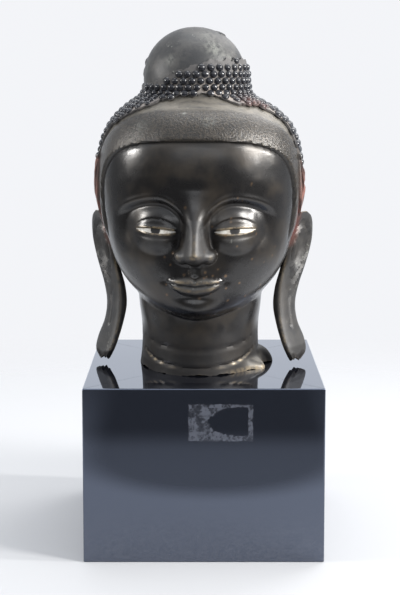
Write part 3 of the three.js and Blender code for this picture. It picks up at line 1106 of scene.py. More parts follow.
@dataclass(frozen=True)
class PolishedBlackFinish:
    """Mirror-polished black, with a film of old adhesive on its front."""

    black: Colour = (0.006, 0.0065, 0.009)
    film: Colour = (0.06, 0.06, 0.066)
    dust: Colour = (0.12, 0.12, 0.13)
    front: float = -0.1
    centre: tuple[float, float] = (0.0139, 0.1185)
    half: tuple[float, float] = (0.0266, 0.0154)
    hole: tuple[float, float] = (0.03, 0.1195)
    hole_half: tuple[float, float] = (0.0265, 0.0122)
    hole_end: float = 0.0366
    dusty_height: float = 0.06
    tint: Colour = (0.66, 0.76, 1.0)
    polish_rough: float = 0.035
    film_rough: float = 0.5
    ior: float = 2.3

    def material(self) -> bpy.types.Material:
        """Makes the material.

        Returns:
            The polished black, which reads the film's mask from the vertices.
        """
        r = Recipe("polished_black")
        film = self.film_mask(r)
        blotch = r.between(r.noise(0.0022, 4, 0.75), 0.34, 0.62)
        patchy = r.between(r.noise(0.011, 3, 0.6), 0.4, 0.56)
        spotty = r.math("ADD", 0.25, r.math("MULTIPLY", blotch, 0.6))
        share = r.math("MULTIPLY", spotty, r.math("ADD", 0.5, patchy))
        share = r.math("MULTIPLY", film, share)
        specks = r.between(r.noise(0.0012, 2, 0.5), 0.74, 0.8)
        colour = r.mixed(share, self.black, self.film)
        colour = r.mixed(r.math("MULTIPLY", specks, 0.35), colour, self.dust)
        split = r.node("ShaderNodeSeparateXYZ")
        r.feed(split.inputs[0], r.place)
        settled = r.between(split.outputs["Z"], self.dusty_height, 0.0)
        powder = r.math("MULTIPLY", settled, r.between(r.noise(0.0016, 3, 0.7), 0.3, 0.75))
        colour = r.mixed(r.math("MULTIPLY", powder, 0.35), colour, self.dust)
        rough = r.blend(share, self.polish_rough, self.film_rough)
        r.set(Base_Color=colour, Roughness=rough, IOR=self.ior, Specular_Tint=self.tint)
        return r.material

    def film_mask(self, r: Recipe) -> bpy.types.NodeSocket:
        """Where the old adhesive is: a rectangle with soft ragged edges and a gap in it.

        Args:
            r: The recipe to add to.

        Returns:
            The mask's socket.
        """
        split = r.node("ShaderNodeSeparateXYZ")
        r.feed(split.inputs[0], r.place)
        ragged = r.math("SUBTRACT", r.noise(0.006, 4, 0.65), 0.5)
        inside = r.between(split.outputs["Y"], self.front + 0.002, self.front + 0.001)
        oval = 0.0
        shapes = zip("XZ", self.centre, self.half, self.hole, self.hole_half)
        for axis, middle, half, hole, hole_half in shapes:
            away = r.math("ABSOLUTE", r.math("SUBTRACT", split.outputs[axis], middle), 0.0)
            away = r.math("ADD", away, r.math("MULTIPLY", ragged, 0.003))
            inside = r.math("MULTIPLY", inside, r.between(away, half + 0.0005, half - 0.0005))
            share = r.math("DIVIDE", r.math("SUBTRACT", split.outputs[axis], hole), hole_half)
            oval = r.math("ADD", oval, r.math("MULTIPLY", share, share))
        gap = r.between(r.math("ADD", oval, ragged), 1.1, 0.9)
        end = r.math("ADD", split.outputs["X"], r.math("MULTIPLY", ragged, 0.002))
        gap = r.math("MULTIPLY", gap, r.between(end, self.hole_end + 0.0004, self.hole_end - 0.0004))
        return r.math("MULTIPLY", inside, r.math("SUBTRACT", 1.0, gap))


@dataclass
class CastHead:
    """The bronze casting: neck, face, ears, hair band and dome, with pockets for the eyes."""

    form: HeadForm
    rows: int = 250
    columns: int = 320
    break_height: float = 0.13
    pocket_depth: float = 0.27
    ear_rows: int = 96
    ear_columns: int = 56
    spot_count: int = 46
    spot_seed: int = 8
    finish: BronzeFinish = field(default_factory=BronzeFinish)
    noise: Unevenness = field(default_factory=lambda: Unevenness(11))

    def break_rise(self, angle: Array) -> Array:
        """How far the neck's broken edge rises above its seat, in fingers."""
        waves = 0.25 + 0.45 * np.sin(5 * angle + 0.6) + 0.4 * np.sin(13 * angle + 2)
        return self.break_height * clamp01(waves + 0.2 * np.sin(23 * angle) + 0.12 * np.sin(61 * angle))

    def levels(self) -> Array:
        """Levels of the rows, closer together over the face and where the surface slopes.

        Returns:
            The levels from the neck's edge to the dome's top.
        """

        def density(share: Array) -> Array:
            """How close the rows are.

            Args:
                share: The share of the head's height.

            Returns:
                The density at each share.
            """
            level = share * FINGERS
            slopes = [
                np.abs(self.form.body_reach(level + 0.05, a) - self.form.body_reach(level - 0.05, a)) / 0.1
                for a in (0.0, math.pi / 2, math.pi)
            ]
            steepest = np.minimum(np.max(slopes, axis=0), 6)
            face = smooth_step(3.2, 4.2, level) * smooth_step(13.6, 12.8, level)
            return np.hypot(1, steepest) * (1 + 1.5 * face)

        return crowded_places(self.rows, density) * FINGERS

    def angles(self) -> Array:
        """Angles of the columns, closer together over the face.

        Returns:
            The angles, once round from the back.
        """

        def density(share: Array) -> Array:
            """How close the columns are.

            Args:
                share: The share of the turn, from the back.

            Returns:
                The density at each share.
            """
            turn = np.abs(share - 0.5) * 2 * math.pi
            return 1 + 2.2 * smooth_step(1.3, 0.8, turn) + 0.9 * smooth_step(0.55, 0.25, turn)

        return ((crowded_places(self.columns, density) - 0.5) * 2 * math.pi)[:-1]

    def drawn_to_band(self, level: Array, angle: Array) -> tuple[Array, Array]:
        """Draws the grid's lines towards the groove between the face and the hair band.

        Args:
            level: The grid's levels.
            angle: The grid's angles.

        Returns:
            The moved levels and angles.
        """
        step = 0.01
        value = self.form.inner_oval(level, angle)
        by_level = (self.form.inner_oval(level + step, angle) - value) / step
        by_angle = (self.form.inner_oval(level, angle + step) - value) / step
        reach = 6.8
        slope = np.hypot(by_level, by_angle / reach) + 1e-3
        distance = (value - 0.985) / slope
        pull = -0.78 * distance * bell(distance, 0.4) * smooth_step(*self.form.ear_line, level)
        return level + pull * by_level / slope, angle + pull * by_angle / slope / reach**2

    def dome_crusts(self, level: Array, angle: Array) -> Array:
        """The few thin flakes of the lost layer that still cling to the dome, in fingers.

        Args:
            level: Height above the neck's edge.
            angle: The angle round from the front.

        Returns:
            How far they stand out.
        """
        flakes = ((24.0, 1.5, 0.16, 0.26, 0.2), (22.0, -1.62, 0.32, 0.13, 0.1), (21.2, -1.5, 0.25, 0.1, 0.05))
        total = np.zeros(np.broadcast(level, angle).shape)
        for at_level, at_angle, height, width, thickness in flakes:
            oval = np.hypot((level - at_level) / height, (angle - at_angle) / width)
            total += thickness * smooth_step(1.0, 0.75, oval + 0.25 * np.sin(9 * angle + 14 * level))
        return total

    def surface(self) -> tuple[Array, list[tuple[int, ...]]]:
        """The casting's skin, closed at the neck's seat and at the top of the dome.

        Returns:
            The points in metres and the faces.
        """
        columns = self.angles()[None, :]
        rows = self.levels()[1:-1][:, None]
        level, angle = self.drawn_to_band(rows + 0 * columns, columns + 0 * rows)
        skin = self.form.skin_points(level, angle)
        normal_lift = self.dome_crusts(level, angle)
        flat = skin.reshape(-1, 3)
        cast = 0.02 * self.noise.at(flat, 1.7) + 0.008 * self.noise.at(flat, 0.6)
        lift = (normal_lift + cast.reshape(normal_lift.shape))[..., None]
        skin += lift * np.stack([np.sin(angle), -np.cos(angle), 0 * angle], -1)
        edge = self.form.skin_points(np.zeros((1, 1)), columns)
        edge[..., 2] = self.break_rise(columns)
        seat = edge * [0.9, 0.9, 0]
        rings = np.concatenate([seat, edge, skin])
        peak = np.array([-self.form.dome_lean, 0, FINGERS])
        points, faces = ring_solid(rings, np.zeros(3), peak)
        return self.form.to_world(points), faces

    def build(self) -> bpy.types.Object:
        """Builds the casting.

        Returns:
            The finished piece.
        """
        head = mesh_object("cast_head", *self.surface())
        for side in Side:
            combine(head, EyeInlay(self.form, side).pocket(self.pocket_depth), Joining.DIFFERENCE)
        for side in Side:
            ear = Ear(self.form, side, self.ear_rows, self.ear_columns)
            combine(head, ear.solid(f"ear_{side.name.lower()}", 0, 0), Joining.UNION)
        self.dress(head)
        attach(head, "root")
        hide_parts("head")
        return head

    def dress(self, head: bpy.types.Object) -> None:
        """Stores the masks that the bronze reads, and gives the casting its material.

        Args:
            head: The casting.
        """
        mesh = head.data
        shade(mesh, 38)
        for name, values in self.masks(mesh).items():
            set_attribute(mesh, name, values)
        mesh.materials.clear()
        mesh.materials.append(self.finish.material())

    def masks(self, mesh: bpy.types.Mesh) -> dict[str, Array]:
        """The masks that the bronze reads, from each vertex's place and curvature.

        Args:
            mesh: The casting's mesh.

        Returns:
            One array of values between 0 and 1 under each mask's name.
        """
        points = self.form.from_world(vertex_points(mesh))
        level = points[:, 2]
        lean = self.form.lean(level)
        angle = np.arctan2(points[:, 0] + lean, -points[:, 1])
        radius = np.hypot(points[:, 0] + lean, points[:, 1])
        on_ear = smooth_step(0.25, 0.6, radius - self.form.body_reach(level, angle)) * (level < 11.3)
        inner = self.form.inner_oval(level, angle)
        outer = self.form.outer_oval(level, angle)
        above = smooth_step(*self.form.ear_line, level)
        band = smooth_step(1.0, 1.03, inner) * (1 - smooth_step(0.93, 1.0, outer)) * above
        bare = smooth_step(0.93, 1.0, outer) * smooth_step(12, 14, level)
        bend = curvature(mesh, 5)
        ripple = 0.5 + 0.5 * self.noise.at(points + 40, 0.5)
        # Worn ridges from the curvature: partly wear, partly painted highlight.
        wear_and_highlight = smooth_step(70, 260, bend) * (0.35 + 0.65 * ripple) * (1 - bare)
        # A painted glint along the flap's broken lower edge.
        broken = smooth_step(0.35, 0.1, level) * smooth_step(0.35, 0.6, angle) * smooth_step(1.5, 1.3, angle)
        wear_and_highlight = np.maximum(wear_and_highlight, broken)
        near_band = bell(inner - 0.99, 0.08) * above
        wear_and_highlight = wear_and_highlight * (1 - near_band)
        # Darkened hollows from the curvature: grime and painted shade.
        cavity = smooth_step(-60, -300, bend) * (1 - near_band)
        # A dark line along the groove: painted shade.
        groove = bell(inner - self.form.groove_at, 0.022) * above
        side = smooth_step(1.3, 1.36, np.abs(angle)) * smooth_step(1.75, 1.6, np.abs(angle))
        side = side * smooth_step(8.4, 9.2, level) * smooth_step(12.6, 11.6, level) * (1 - on_ear)
        red = side * (0.6 + 0.3 * self.noise.at(points + 9, 0.45))
        flap = bell(angle - 1.15, 0.3) * smooth_step(0.95, 0.6, level) * smooth_step(4.3, 4.6, radius)
        lump = smooth_step(1.32, 1.42, angle) * smooth_step(4.35, 4.6, radius) * smooth_step(1.4, 1.2, level)
        # The lobe tips darkened next to the plinth: painted shade.
        tip = on_ear * smooth_step(1.0, 0.75, level + 0.15 * self.noise.at(points, 0.3))
        strip = bare * smooth_step(20.4, 19.6, level) * smooth_step(1.6, 1.1, np.abs(angle))
        # A painted highlight along the rim of the lower neck crease.
        rim = bell(level - self.form.lower_crease(angle) + 0.1, 0.05) * bell(np.abs(angle) - 0.68, 0.3)
        # The lower neck and its foot darkened as painted shade, apart from the flap and the crease's rim.
        low = smooth_step(3.4, 2.2, level) * (1 - on_ear) * (1 - flap) * (1 - rim)
        foot = smooth_step(0.85, 0.6, level) * (1 - on_ear) * (1 - flap) * (1 - rim)
        flap = 0.9 * flap * (1 - lump)
        wear_and_highlight = np.maximum(wear_and_highlight, rim * (1 - on_ear))
        # All the darkened parts, painted shade with some grime, stored as the cavity mask.
        grime_and_shade = [cavity, groove, 0.6 * lump, tip, 0.6 * low, 0.8 * foot]
        return {
            "band": band * (1 - on_ear),
            "pale": np.maximum(0.75 * strip, flap),
            "bare": np.maximum.reduce([bare, 0.55 * on_ear, flap]),
            "dull": np.maximum.reduce([bare, on_ear, flap, lump, 0.35 * low, 0.9 * foot]),
            "wear_and_highlight": clamp01(wear_and_highlight) * 0.55,
            "cavity": clamp01(np.maximum.reduce(grime_and_shade)) * 0.85,
            "red": clamp01(red),
            "spots": self.corrosion_spots(points),
            "bloom": self.corrosion_bloom(points),
        }

    def corrosion_bloom(self, points: Array) -> Array:
        """Pale green-grey bloom in a few places on the dome and the hair band.

        Args:
            points: Points in fingers.

        Returns:
            The bloom's strength at each point.
        """
        places = (
            (22.96, 0.53, 0.6, 0.9), (22.3, 0.75, 0.5, 0.5), (23.9, 0.5, 0.5, 0.45),
            (22.1, -0.47, 0.3, 0.7), (21.6, -1.2, 0.5, 0.3), (17.9, 0.16, 0.35, 0.55),
            (18.45, -0.12, 0.12, 1.0), (17.6, -0.62, 0.5, 0.4),
        )
        strength = np.zeros(len(points))
        for level, turn, radius, share in places:
            centre = self.form.body_points(np.array(level), np.array(turn))
            distance = np.linalg.norm(points - centre, axis=1)
            strength = np.maximum(strength, share * bell(distance, radius))
        return strength

    def corrosion_spots(self, points: Array) -> Array:
        """Small brown spots, scattered mostly over the cheeks and the chin.

        Args:
            points: Points in fingers.

        Returns:
            The spots' strength at each point.
        """
        chance = np.random.default_rng(self.spot_seed)
        strength = np.zeros(len(points))
        for _ in range(self.spot_count):
            level = chance.triangular(3.9, 6.2, 14)
            turn = chance.normal(0.25, 0.42)
            radius = chance.uniform(0.06, 0.15)
            centre = self.form.skin_points(np.array([[level]]), np.array([[turn]]))[0, 0]
            distance = np.linalg.norm(points - centre, axis=1)
            spot = smooth_step(radius, radius * 0.4, distance) * chance.uniform(0.3, 0.8)
            strength = np.maximum(strength, spot)
        return strength


@dataclass
class Ear:
    """One long ear with a split lobe, in fingers on the head's own axis."""

    form: HeadForm
    side: Side
    rows: int
    columns: int
    top_level: float = 11.05
    tip_level: float = 0.36
    squareness: float = 3.0
    facing: float = math.pi / 3
    edges: StationCurve = field(
        default_factory=lambda: StationCurve(
            [
                (0.36, 6.95, 7.5, -1.5, 0.6),
                (0.75, 6.8, 7.95, -1.5, 0.72),
                (1.6, 6.45, 7.86, -1.5, 0.72),
                (3, 6.1, 7.33, -1.35, 0.8),
                (4.3, 5.98, 7.2, -1.15, 0.95),
                (5.6, 6.05, 7.48, -0.95, 0.9),
                (7, 6.3, 7.96, -0.75, 0.74),
                (8.6, 6.55, 8.38, -0.6, 0.64),
                (9.8, 6.72, 8.45, -0.5, 0.58),
                (10.6, 6.9, 8.3, -0.4, 0.5),
                (11.05, 7.2, 7.9, -0.2, 0.3),
            ]
        )
    )

    def hollow(self, across: Array, level: Array) -> Array:
        """The depth of the ear's carving.

        Args:
            across: -1 at the ear's front edge and 1 at its back edge.
            level: Height above the neck's edge.

        Returns:
            The depth below the rim.
        """
        oval = np.hypot((across - 0.02) / 0.74, (level - 8.2) / 2.45)
        furrow = smooth_step(1.0, 0.9, oval) * (1 - bell(oval - 0.66, 0.09))
        bowl = smooth_step(0.5, 0.36, oval)
        fold = 0.5 * bell(oval - 0.25, 0.09) * smooth_step(8.0, 9.0, level)
        slit = bell(across + 0.1, 0.09) * smooth_step(2.5, 2.8, level) * smooth_step(5.1, 4.8, level)
        lines = (bell(oval - 1.12, 0.035) + bell(oval - 1.28, 0.035)) * smooth_step(7.2, 6.4, level)
        return 0.24 * furrow + 0.17 * (bowl - fold) + 0.2 * slit + 0.07 * lines

    def rings(self, margin: float, outward_margin: float) -> Array:
        """The ear's sections from its tip to its top.

        Args:
            margin: How far it is grown all round.
            outward_margin: How far it is grown outwards.

        Returns:
            Points in fingers, in rows that run anticlockwise from above.
        """
        share = ((1 - np.cos(np.pi * np.linspace(0, 1, self.rows + 1))) / 2)[:, None]
        level = self.tip_level + (self.top_level - self.tip_level) * share
        front_x, back_x, front_y, thickness = self.edges.at(level)
        outward = np.array([math.sin(self.facing), -math.cos(self.facing)])
        backward = np.array([math.cos(self.facing), math.sin(self.facing)])
        half_width = (back_x - front_x) / (2 * backward[0])
        turn = np.linspace(0, 2 * np.pi, self.columns, endpoint=False)[None, :]
        power = self.squareness
        roundness = (np.abs(np.cos(turn)) ** power + np.abs(np.sin(turn)) ** power) ** (-1 / power)
        across = np.cos(turn) * roundness
        through = np.sin(turn) * roundness
        along = half_width + across * (half_width + margin)
        grown = np.where(through > 0, outward_margin, margin)
        out = -thickness / 2 + through * (thickness / 2 + grown)
        if margin == 0:
            out = out - self.hollow(across, level) * np.maximum(0, through)
        x = front_x + along * backward[0] + out * outward[0]
        y = front_y + along * backward[1] + out * outward[1]
        ragged = 0.09 * np.sin(3 * turn + 1) + 0.07 * np.sin(7 * turn) + 0.05 * np.sin(11 * turn + 2)
        z = level + margin * (2 * share - 1) + (ragged + 0.1) * smooth_step(1.1, 0.5, level)
        rings = np.stack([x * self.side.value, y, z], axis=-1)
        return rings[:, ::-1] if self.side is Side.RIGHT else rings

    def solid(self, name: str, margin: float, outward_margin: float) -> bpy.types.Object:
        """A closed solid of the ear.

        Args:
            name: The object's name.
            margin: How far it is grown all round.
            outward_margin: How far it is grown outwards.

        Returns:
            The new object.
        """
        rings = self.rings(margin, outward_margin)
        points, faces = ring_solid(rings, rings[0].mean(0), rings[-1].mean(0))
        return mesh_object(name, self.form.to_world(points), faces)


@dataclass
class EyeInlay:
    """One eye's inlay, a slim leaf of shell behind the lids."""

    form: HeadForm
    side: Side
    steps_across: int = 72
    steps_up: int = 14
    pocket_steps: tuple[int, int] = (40, 2)
    pocket_front: float = -9
    clearance: float = 0.004
    set_back: float = 0.045
    thickness: float = 0.2
    iris_radius: float = 0.34
    finish: ShellFinish = field(default_factory=ShellFinish)

    def leaf(self, margin: float, steps_across: int, steps_up: int) -> tuple[Array, Array]:
        """Places that fill the leaf between the eye's corners.

        Args:
            margin: How far the leaf is grown.
            steps_across: Steps from corner to corner.
            steps_up: Steps from the lower lid to the upper one.

        Returns:
            The distance across and the level of each place, in rows from the lower lid up.
        """
        face = self.form.face
        t = np.linspace(0, 1, steps_across + 1)[None, :]
        u = np.linspace(0, 1, steps_up + 1)[:, None]
        across = face.eye_inner - margin + (face.eye_outer - face.eye_inner + 2 * margin) * t
        lower, upper, _ = face.lid_lines(across)
        middle = face.eye_corner_level + 0.12 * t
        swell = (upper - lower) / 2 + margin
        return across + 0 * u, middle + swell * (2 * u - 1)

    def shell_solid(self, name: str, front: Array, back: Array) -> bpy.types.Object:
        """A closed solid between two grids of points.

        Args:
            name: The object's name.
            front: Points of the front, in fingers, in rows.
            back: Points of the back.

        Returns:
            The new object.
        """
        rows, columns = front.shape[:2]
        count = rows * columns
        index = np.arange(count).reshape(rows, columns)
        quads = np.stack([index[:-1, :-1], index[:-1, 1:], index[1:, 1:], index[1:, :-1]], -1).reshape(-1, 4)
        rim = np.concatenate([index[0, :-1], index[:-1, -1], index[-1, :0:-1], index[:0:-1, 0]])
        after = np.roll(rim, -1)
        walls = np.stack([after, rim, rim + count, after + count], -1)
        faces = np.concatenate([quads, quads[:, ::-1] + count, walls])
        if self.side is Side.LEFT:
            faces = faces[:, ::-1]
        points = np.concatenate([front.reshape(-1, 3), back.reshape(-1, 3)])
        points = points * [self.side.value, 1, 1]
        return mesh_object(name, self.form.to_world(points), faces.tolist())

    def pocket(self, depth: float) -> bpy.types.Object:
        """The solid that cuts the eye's pocket out of the casting.

        Args:
            depth: The pocket's depth in fingers.

        Returns:
            The cutting solid.
        """
        across, level = self.leaf(0, *self.pocket_steps)
        y = self.form.front_y(across, level)
        front = np.stack([across, np.full_like(y, self.pocket_front), level], -1)
        back = np.stack([across, y + depth, level], -1)
        return self.shell_solid("eye_pocket", front, back)

    def build(self) -> bpy.types.Object:
        """Builds the inlay.

        Returns:
            The finished piece.
        """
        across, level = self.leaf(-self.clearance, self.steps_across, self.steps_up)
        y = self.form.front_y(across, level) + self.set_back
        front = np.stack([across, y, level], -1)
        back = np.stack([across, y + self.thickness, level], -1)
        # The inlays are named from the head's own point of view
        name = f"eye_inlay_{'left' if self.side is Side.RIGHT else 'right'}"
        inlay = self.shell_solid(f"{name}_shell", front, back)
        mesh = inlay.data
        shade(mesh, 40)
        points = self.form.from_world(vertex_points(mesh))
        face = self.form.face
        middle = (face.eye_inner + face.eye_outer) / 2
        reach = np.hypot(np.abs(points[:, 0]) - middle, points[:, 2] - face.eye_corner_level - 0.12)
        set_attribute(mesh, "iris", smooth_step(self.iris_radius + 0.02, self.iris_radius - 0.02, reach))
        mesh.materials.append(self.finish.material())
        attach(inlay, "root")
        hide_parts(name)
        return inlay


@dataclass
class HairCurls:
    """The layer of lacquer with moulded curls that still covers most of the hair."""

    form: HeadForm
    gap: float = 0.0003
    layer: float = 0.0019
    curl_height: float = 0.0024
    curl_width: float = 0.0068
    curl_spacing: float = 0.0073
    row_spacing: float = 0.0055
    curl_sides: int = 9
    curl_profile: tuple[tuple[float, float], ...] = ((-0.3, 1.0), (0.35, 0.93), (0.8, 0.56))
    first_level: float = 3.6
    last_level: float = 23
    columns: int = 340
    sheet_rows: int = 40
    clearance_grid: tuple[int, int] = (40, 24)
    finish: LacquerFinish = field(default_factory=LacquerFinish)
    noise: Unevenness = field(default_factory=lambda: Unevenness(5))
    lower_edge: tuple[tuple[float, float], ...] = (
        (-180, 3.9), (-155, 4.1), (-136, 4.8), (-110, 6.6), (-96.5, 9.1), (-82, 11.3), (-78, 12.5),
        (-77, 16.4), (-72, 17.4), (-54.6, 18.23), (-33, 19.13), (-11, 19.66), (20, 19.66), (32, 19.22),
        (37, 18.98), (52, 18.89), (60, 18.81), (69, 18.31), (75.5, 17.6), (77, 16.7), (78, 12.5),
        (82, 11.3), (96.5, 9.1), (110, 6.6), (136, 4.8), (155, 4.1), (180, 3.9),
    )
    upper_edge: tuple[tuple[float, float], ...] = (
        (-180, 21.4), (-130, 20.7), (-90, 20.25), (-66, 20.3), (-41, 20.6), (-29, 20.95), (-24, 21.2),
        (-7, 21.55), (8, 21.8), (18, 22.0), (37, 22.1), (56, 22.15), (79, 22.05), (95, 21.8),
        (135, 21.7), (180, 21.4),
    )

    def edge_levels(self, angle: Array) -> tuple[Array, Array]:
        """The layer's ragged lower and upper edges.

        Args:
            angle: The angle round from the front, in radians.

        Returns:
            The two levels, in fingers.
        """
        degrees = np.degrees(angle)
        circle = np.stack([np.sin(angle) * 6, -np.cos(angle) * 6, 0 * angle], -1)
        lower = np.interp(degrees, *np.transpose(self.lower_edge))
        upper = np.interp(degrees, *np.transpose(self.upper_edge))
        lower = lower + 0.09 * self.noise.at(circle, 0.45) + 0.05 * self.noise.at(circle + 7, 0.16)
        upper = upper + 0.16 * self.noise.at(circle + 20, 0.5) + 0.07 * self.noise.at(circle + 31, 0.2)
        return lower, upper

    def worn_sides(self, points: Array, level: Array, angle: Array) -> Array:
        """Where the curls beside the face have gone and thick red lacquer is left.

        Args:
            points: Points in fingers, one to a row.
            level: Their levels.
            angle: Their angles.

        Returns:
            1 where the curls have gone.
        """
        turn = np.abs(angle) + 0.06 * self.noise.at(points + 60, 0.5)
        height = level + 0.25 * self.noise.at(points + 3, 0.7) + 0.3 * np.sign(angle)
        return smooth_step(1.84, 1.66, turn) * smooth_step(15.0, 14.7, height)

    def sheet(self) -> bpy.types.Object:
        """The thin layer itself, closed all round.

        Returns:
            The layer as an object.
        """
        finger = self.form.finger
        angle = np.linspace(-np.pi, np.pi, self.columns, endpoint=False)[None, :]
        lower, upper = self.edge_levels(angle[0])
        share = np.linspace(0, 1, self.sheet_rows + 1)[:, None]
        level = lower[None, :] + (upper - lower)[None, :] * share
        flat = self.form.body_points(level, angle + 0 * level).reshape(-1, 3)
        ripple = 0.18 * self.noise.at(flat, 0.35).reshape(level.shape)
        worn = self.worn_sides(flat, level.ravel(), (angle + 0 * level).ravel()).reshape(level.shape)
        rise = self.curl_height * worn * smooth_step(0, 0.12, share) * (0.65 + ripple)
        thickness = self.layer * (1 + ripple) + rise
        outer = self.form.lifted_points(level, angle + 0 * level, (self.gap + thickness) / finger)
        inner = self.form.lifted_points(level, angle + 0 * level, np.full_like(level, self.gap / finger))
        rings = np.concatenate([outer, inner[::-1]])
        rows, columns = rings.shape[:2]
        faces = grid_faces(rows, columns)
        last = (rows - 1) * columns
        faces += [(last + i, last + (i + 1) % columns, (i + 1) % columns, i) for i in range(columns)]
        return mesh_object("hair_curls_lacquer", self.form.to_world(rings.reshape(-1, 3)), faces)

    def curl_places(self) -> tuple[Array, Array]:
        """Where the curls sit, in rows round the head, each row half a curl on from the last.

        Returns:
            The level and the angle of each curl.
        """
        levels, angles = [], []
        level, row = self.first_level, 0
        while level < self.last_level:
            reach = float(self.form.body_reach(np.array(level), np.array(math.pi / 2)))
            count = 4 * round(math.pi / 2 * reach * self.form.finger / self.curl_spacing)
            turn = (np.arange(count) + 0.5 * (row % 2)) / count * 2 * math.pi - math.pi
            levels.append(np.full(count, level))
            angles.append((turn + math.pi) % (2 * math.pi) - math.pi)
            higher = float(self.form.body_reach(np.array(level + 0.1), np.array(math.pi / 2)))
            slope = min(abs(higher - reach) / 0.1, 3)
            level += self.row_spacing / self.form.finger / math.hypot(1, slope)
            row += 1
        return np.concatenate(levels), np.concatenate(angles)

    def curls(self) -> bpy.types.Object:
        """All the curls, each a small dome that sinks into the layer.

        Returns:
            The curls as one object.
        """
        finger = self.form.finger
        level, angle = self.curl_places()
        lower, upper = self.edge_levels(angle)
        spot = self.form.body_points(level, angle)
        chance = self.noise.at(spot + 50, 0.3)
        near_top = smooth_step(0.9, 0.1, upper - level)
        kept = (level > lower + 0.02) & (level < upper - 0.18) & (chance < 0.85 - 0.2 * near_top)
        kept &= self.worn_sides(spot, level, angle) < 0.5
        level, angle, spot = level[kept], angle[kept], spot[kept]
        step = 0.02
        centre = self.form.lifted_points(level, angle, np.full(len(level), (self.gap + self.layer) / finger))
        lifted = self.form.lifted_points(level, angle, np.full(len(level), 1.0))
        outward = lifted - self.form.body_points(level, angle)
        across = self.form.body_points(level, angle + step) - self.form.body_points(level, angle - step)
        across /= np.linalg.norm(across, axis=1, keepdims=True)
        up = np.cross(outward, across)
        size = 1 + 0.12 * self.noise.at(spot + 70, 0.25)
        height = self.curl_height / finger * (1 + 0.25 * self.noise.at(spot + 90, 0.3))
        turns = np.linspace(0, 2 * np.pi, self.curl_sides, endpoint=False)
        rings = []
        for rise, width in self.curl_profile:
            radius = self.curl_width / 2 / finger * width * size
            for turn in turns:
                side = across * math.cos(turn) + up * math.sin(turn)
                rings.append(centre + outward * (height * rise)[:, None] + side * radius[:, None])
        tip = centre + outward * height[:, None]
        base = centre + outward * (height * self.curl_profile[0][0])[:, None]
        points = np.stack([*rings, tip, base], axis=1)
        count = len(turns)
        faces = grid_faces(len(self.curl_profile), count)
        last = (len(self.curl_profile) - 1) * count
        faces += [(last + i, last + (i + 1) % count, len(rings)) for i in range(count)]
        faces += [((i + 1) % count, i, len(rings) + 1) for i in range(count)]
        all_faces = []
        for i in range(len(points)):
            first = i * points.shape[1]
            all_faces += [tuple(first + corner for corner in face) for face in faces]
        return mesh_object("curl_domes", self.form.to_world(points.reshape(-1, 3)), all_faces)

    def build(self) -> bpy.types.Object:
        """Builds the layer with its curls, clear of the ears.

        Returns:
            The finished piece.
        """
        hair = self.sheet()
        combine(hair, self.curls(), Joining.UNION)
        for side in Side:
            ear = Ear(self.form, side, *self.clearance_grid)
            clear = ear.solid("ear_clearance", self.gap / self.form.finger, 1)
            combine(hair, clear, Joining.DIFFERENCE)
        self.dress(hair)
        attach(hair, "root")
        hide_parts("hair_curls")
        return hair

    def dress(self, hair: bpy.types.Object) -> None:
        """Stores the masks that the lacquer reads, and gives the layer its material.

        Args:
            hair: The layer with its curls.
        """
        mesh = hair.data
        shade(mesh, 42)
        points = self.form.from_world(vertex_points(mesh))
        level = points[:, 2]
        lean = self.form.lean(level)
        angle = np.arctan2(points[:, 0] + lean, -points[:, 1])
        skin = self.form.body_points(level, angle)
        normal = self.form.lifted_points(level, angle, np.ones(len(level))) - skin
        stand = ((points - skin) * normal).sum(1) * self.form.finger - self.gap - self.layer
        set_attribute(mesh, "height", clamp01(stand / self.curl_height))
        worn = self.worn_sides(points, level, angle)
        crown = bell(angle - 0.98, 0.2) * bell(level - 19.05, 0.45)
        patch = np.maximum(worn, 0.6 * crown) * (0.75 + 0.25 * self.noise.at(points + 13, 0.3))
        lower, upper = self.edge_levels(angle)
        cloudy = smooth_step(-0.2, 0.5, self.noise.at(points, 1.4))
        dusty = bell(angle - 0.2, 0.75) * bell(level - 19.9, 0.9) + 0.35 * cloudy
        set_attribute(mesh, "red", clamp01(patch))
        # Darker towards both edges of the layer; at the lower edge this dark is a painted shadow under the
        # rim.
        inside = smooth_step(0.05, 0.3, level - lower) * smooth_step(0.15, 0.9, upper - level)
        set_attribute(mesh, "dusty", clamp01(dusty) * inside)
        mesh.materials.clear()
        mesh.materials.append(self.finish.material())


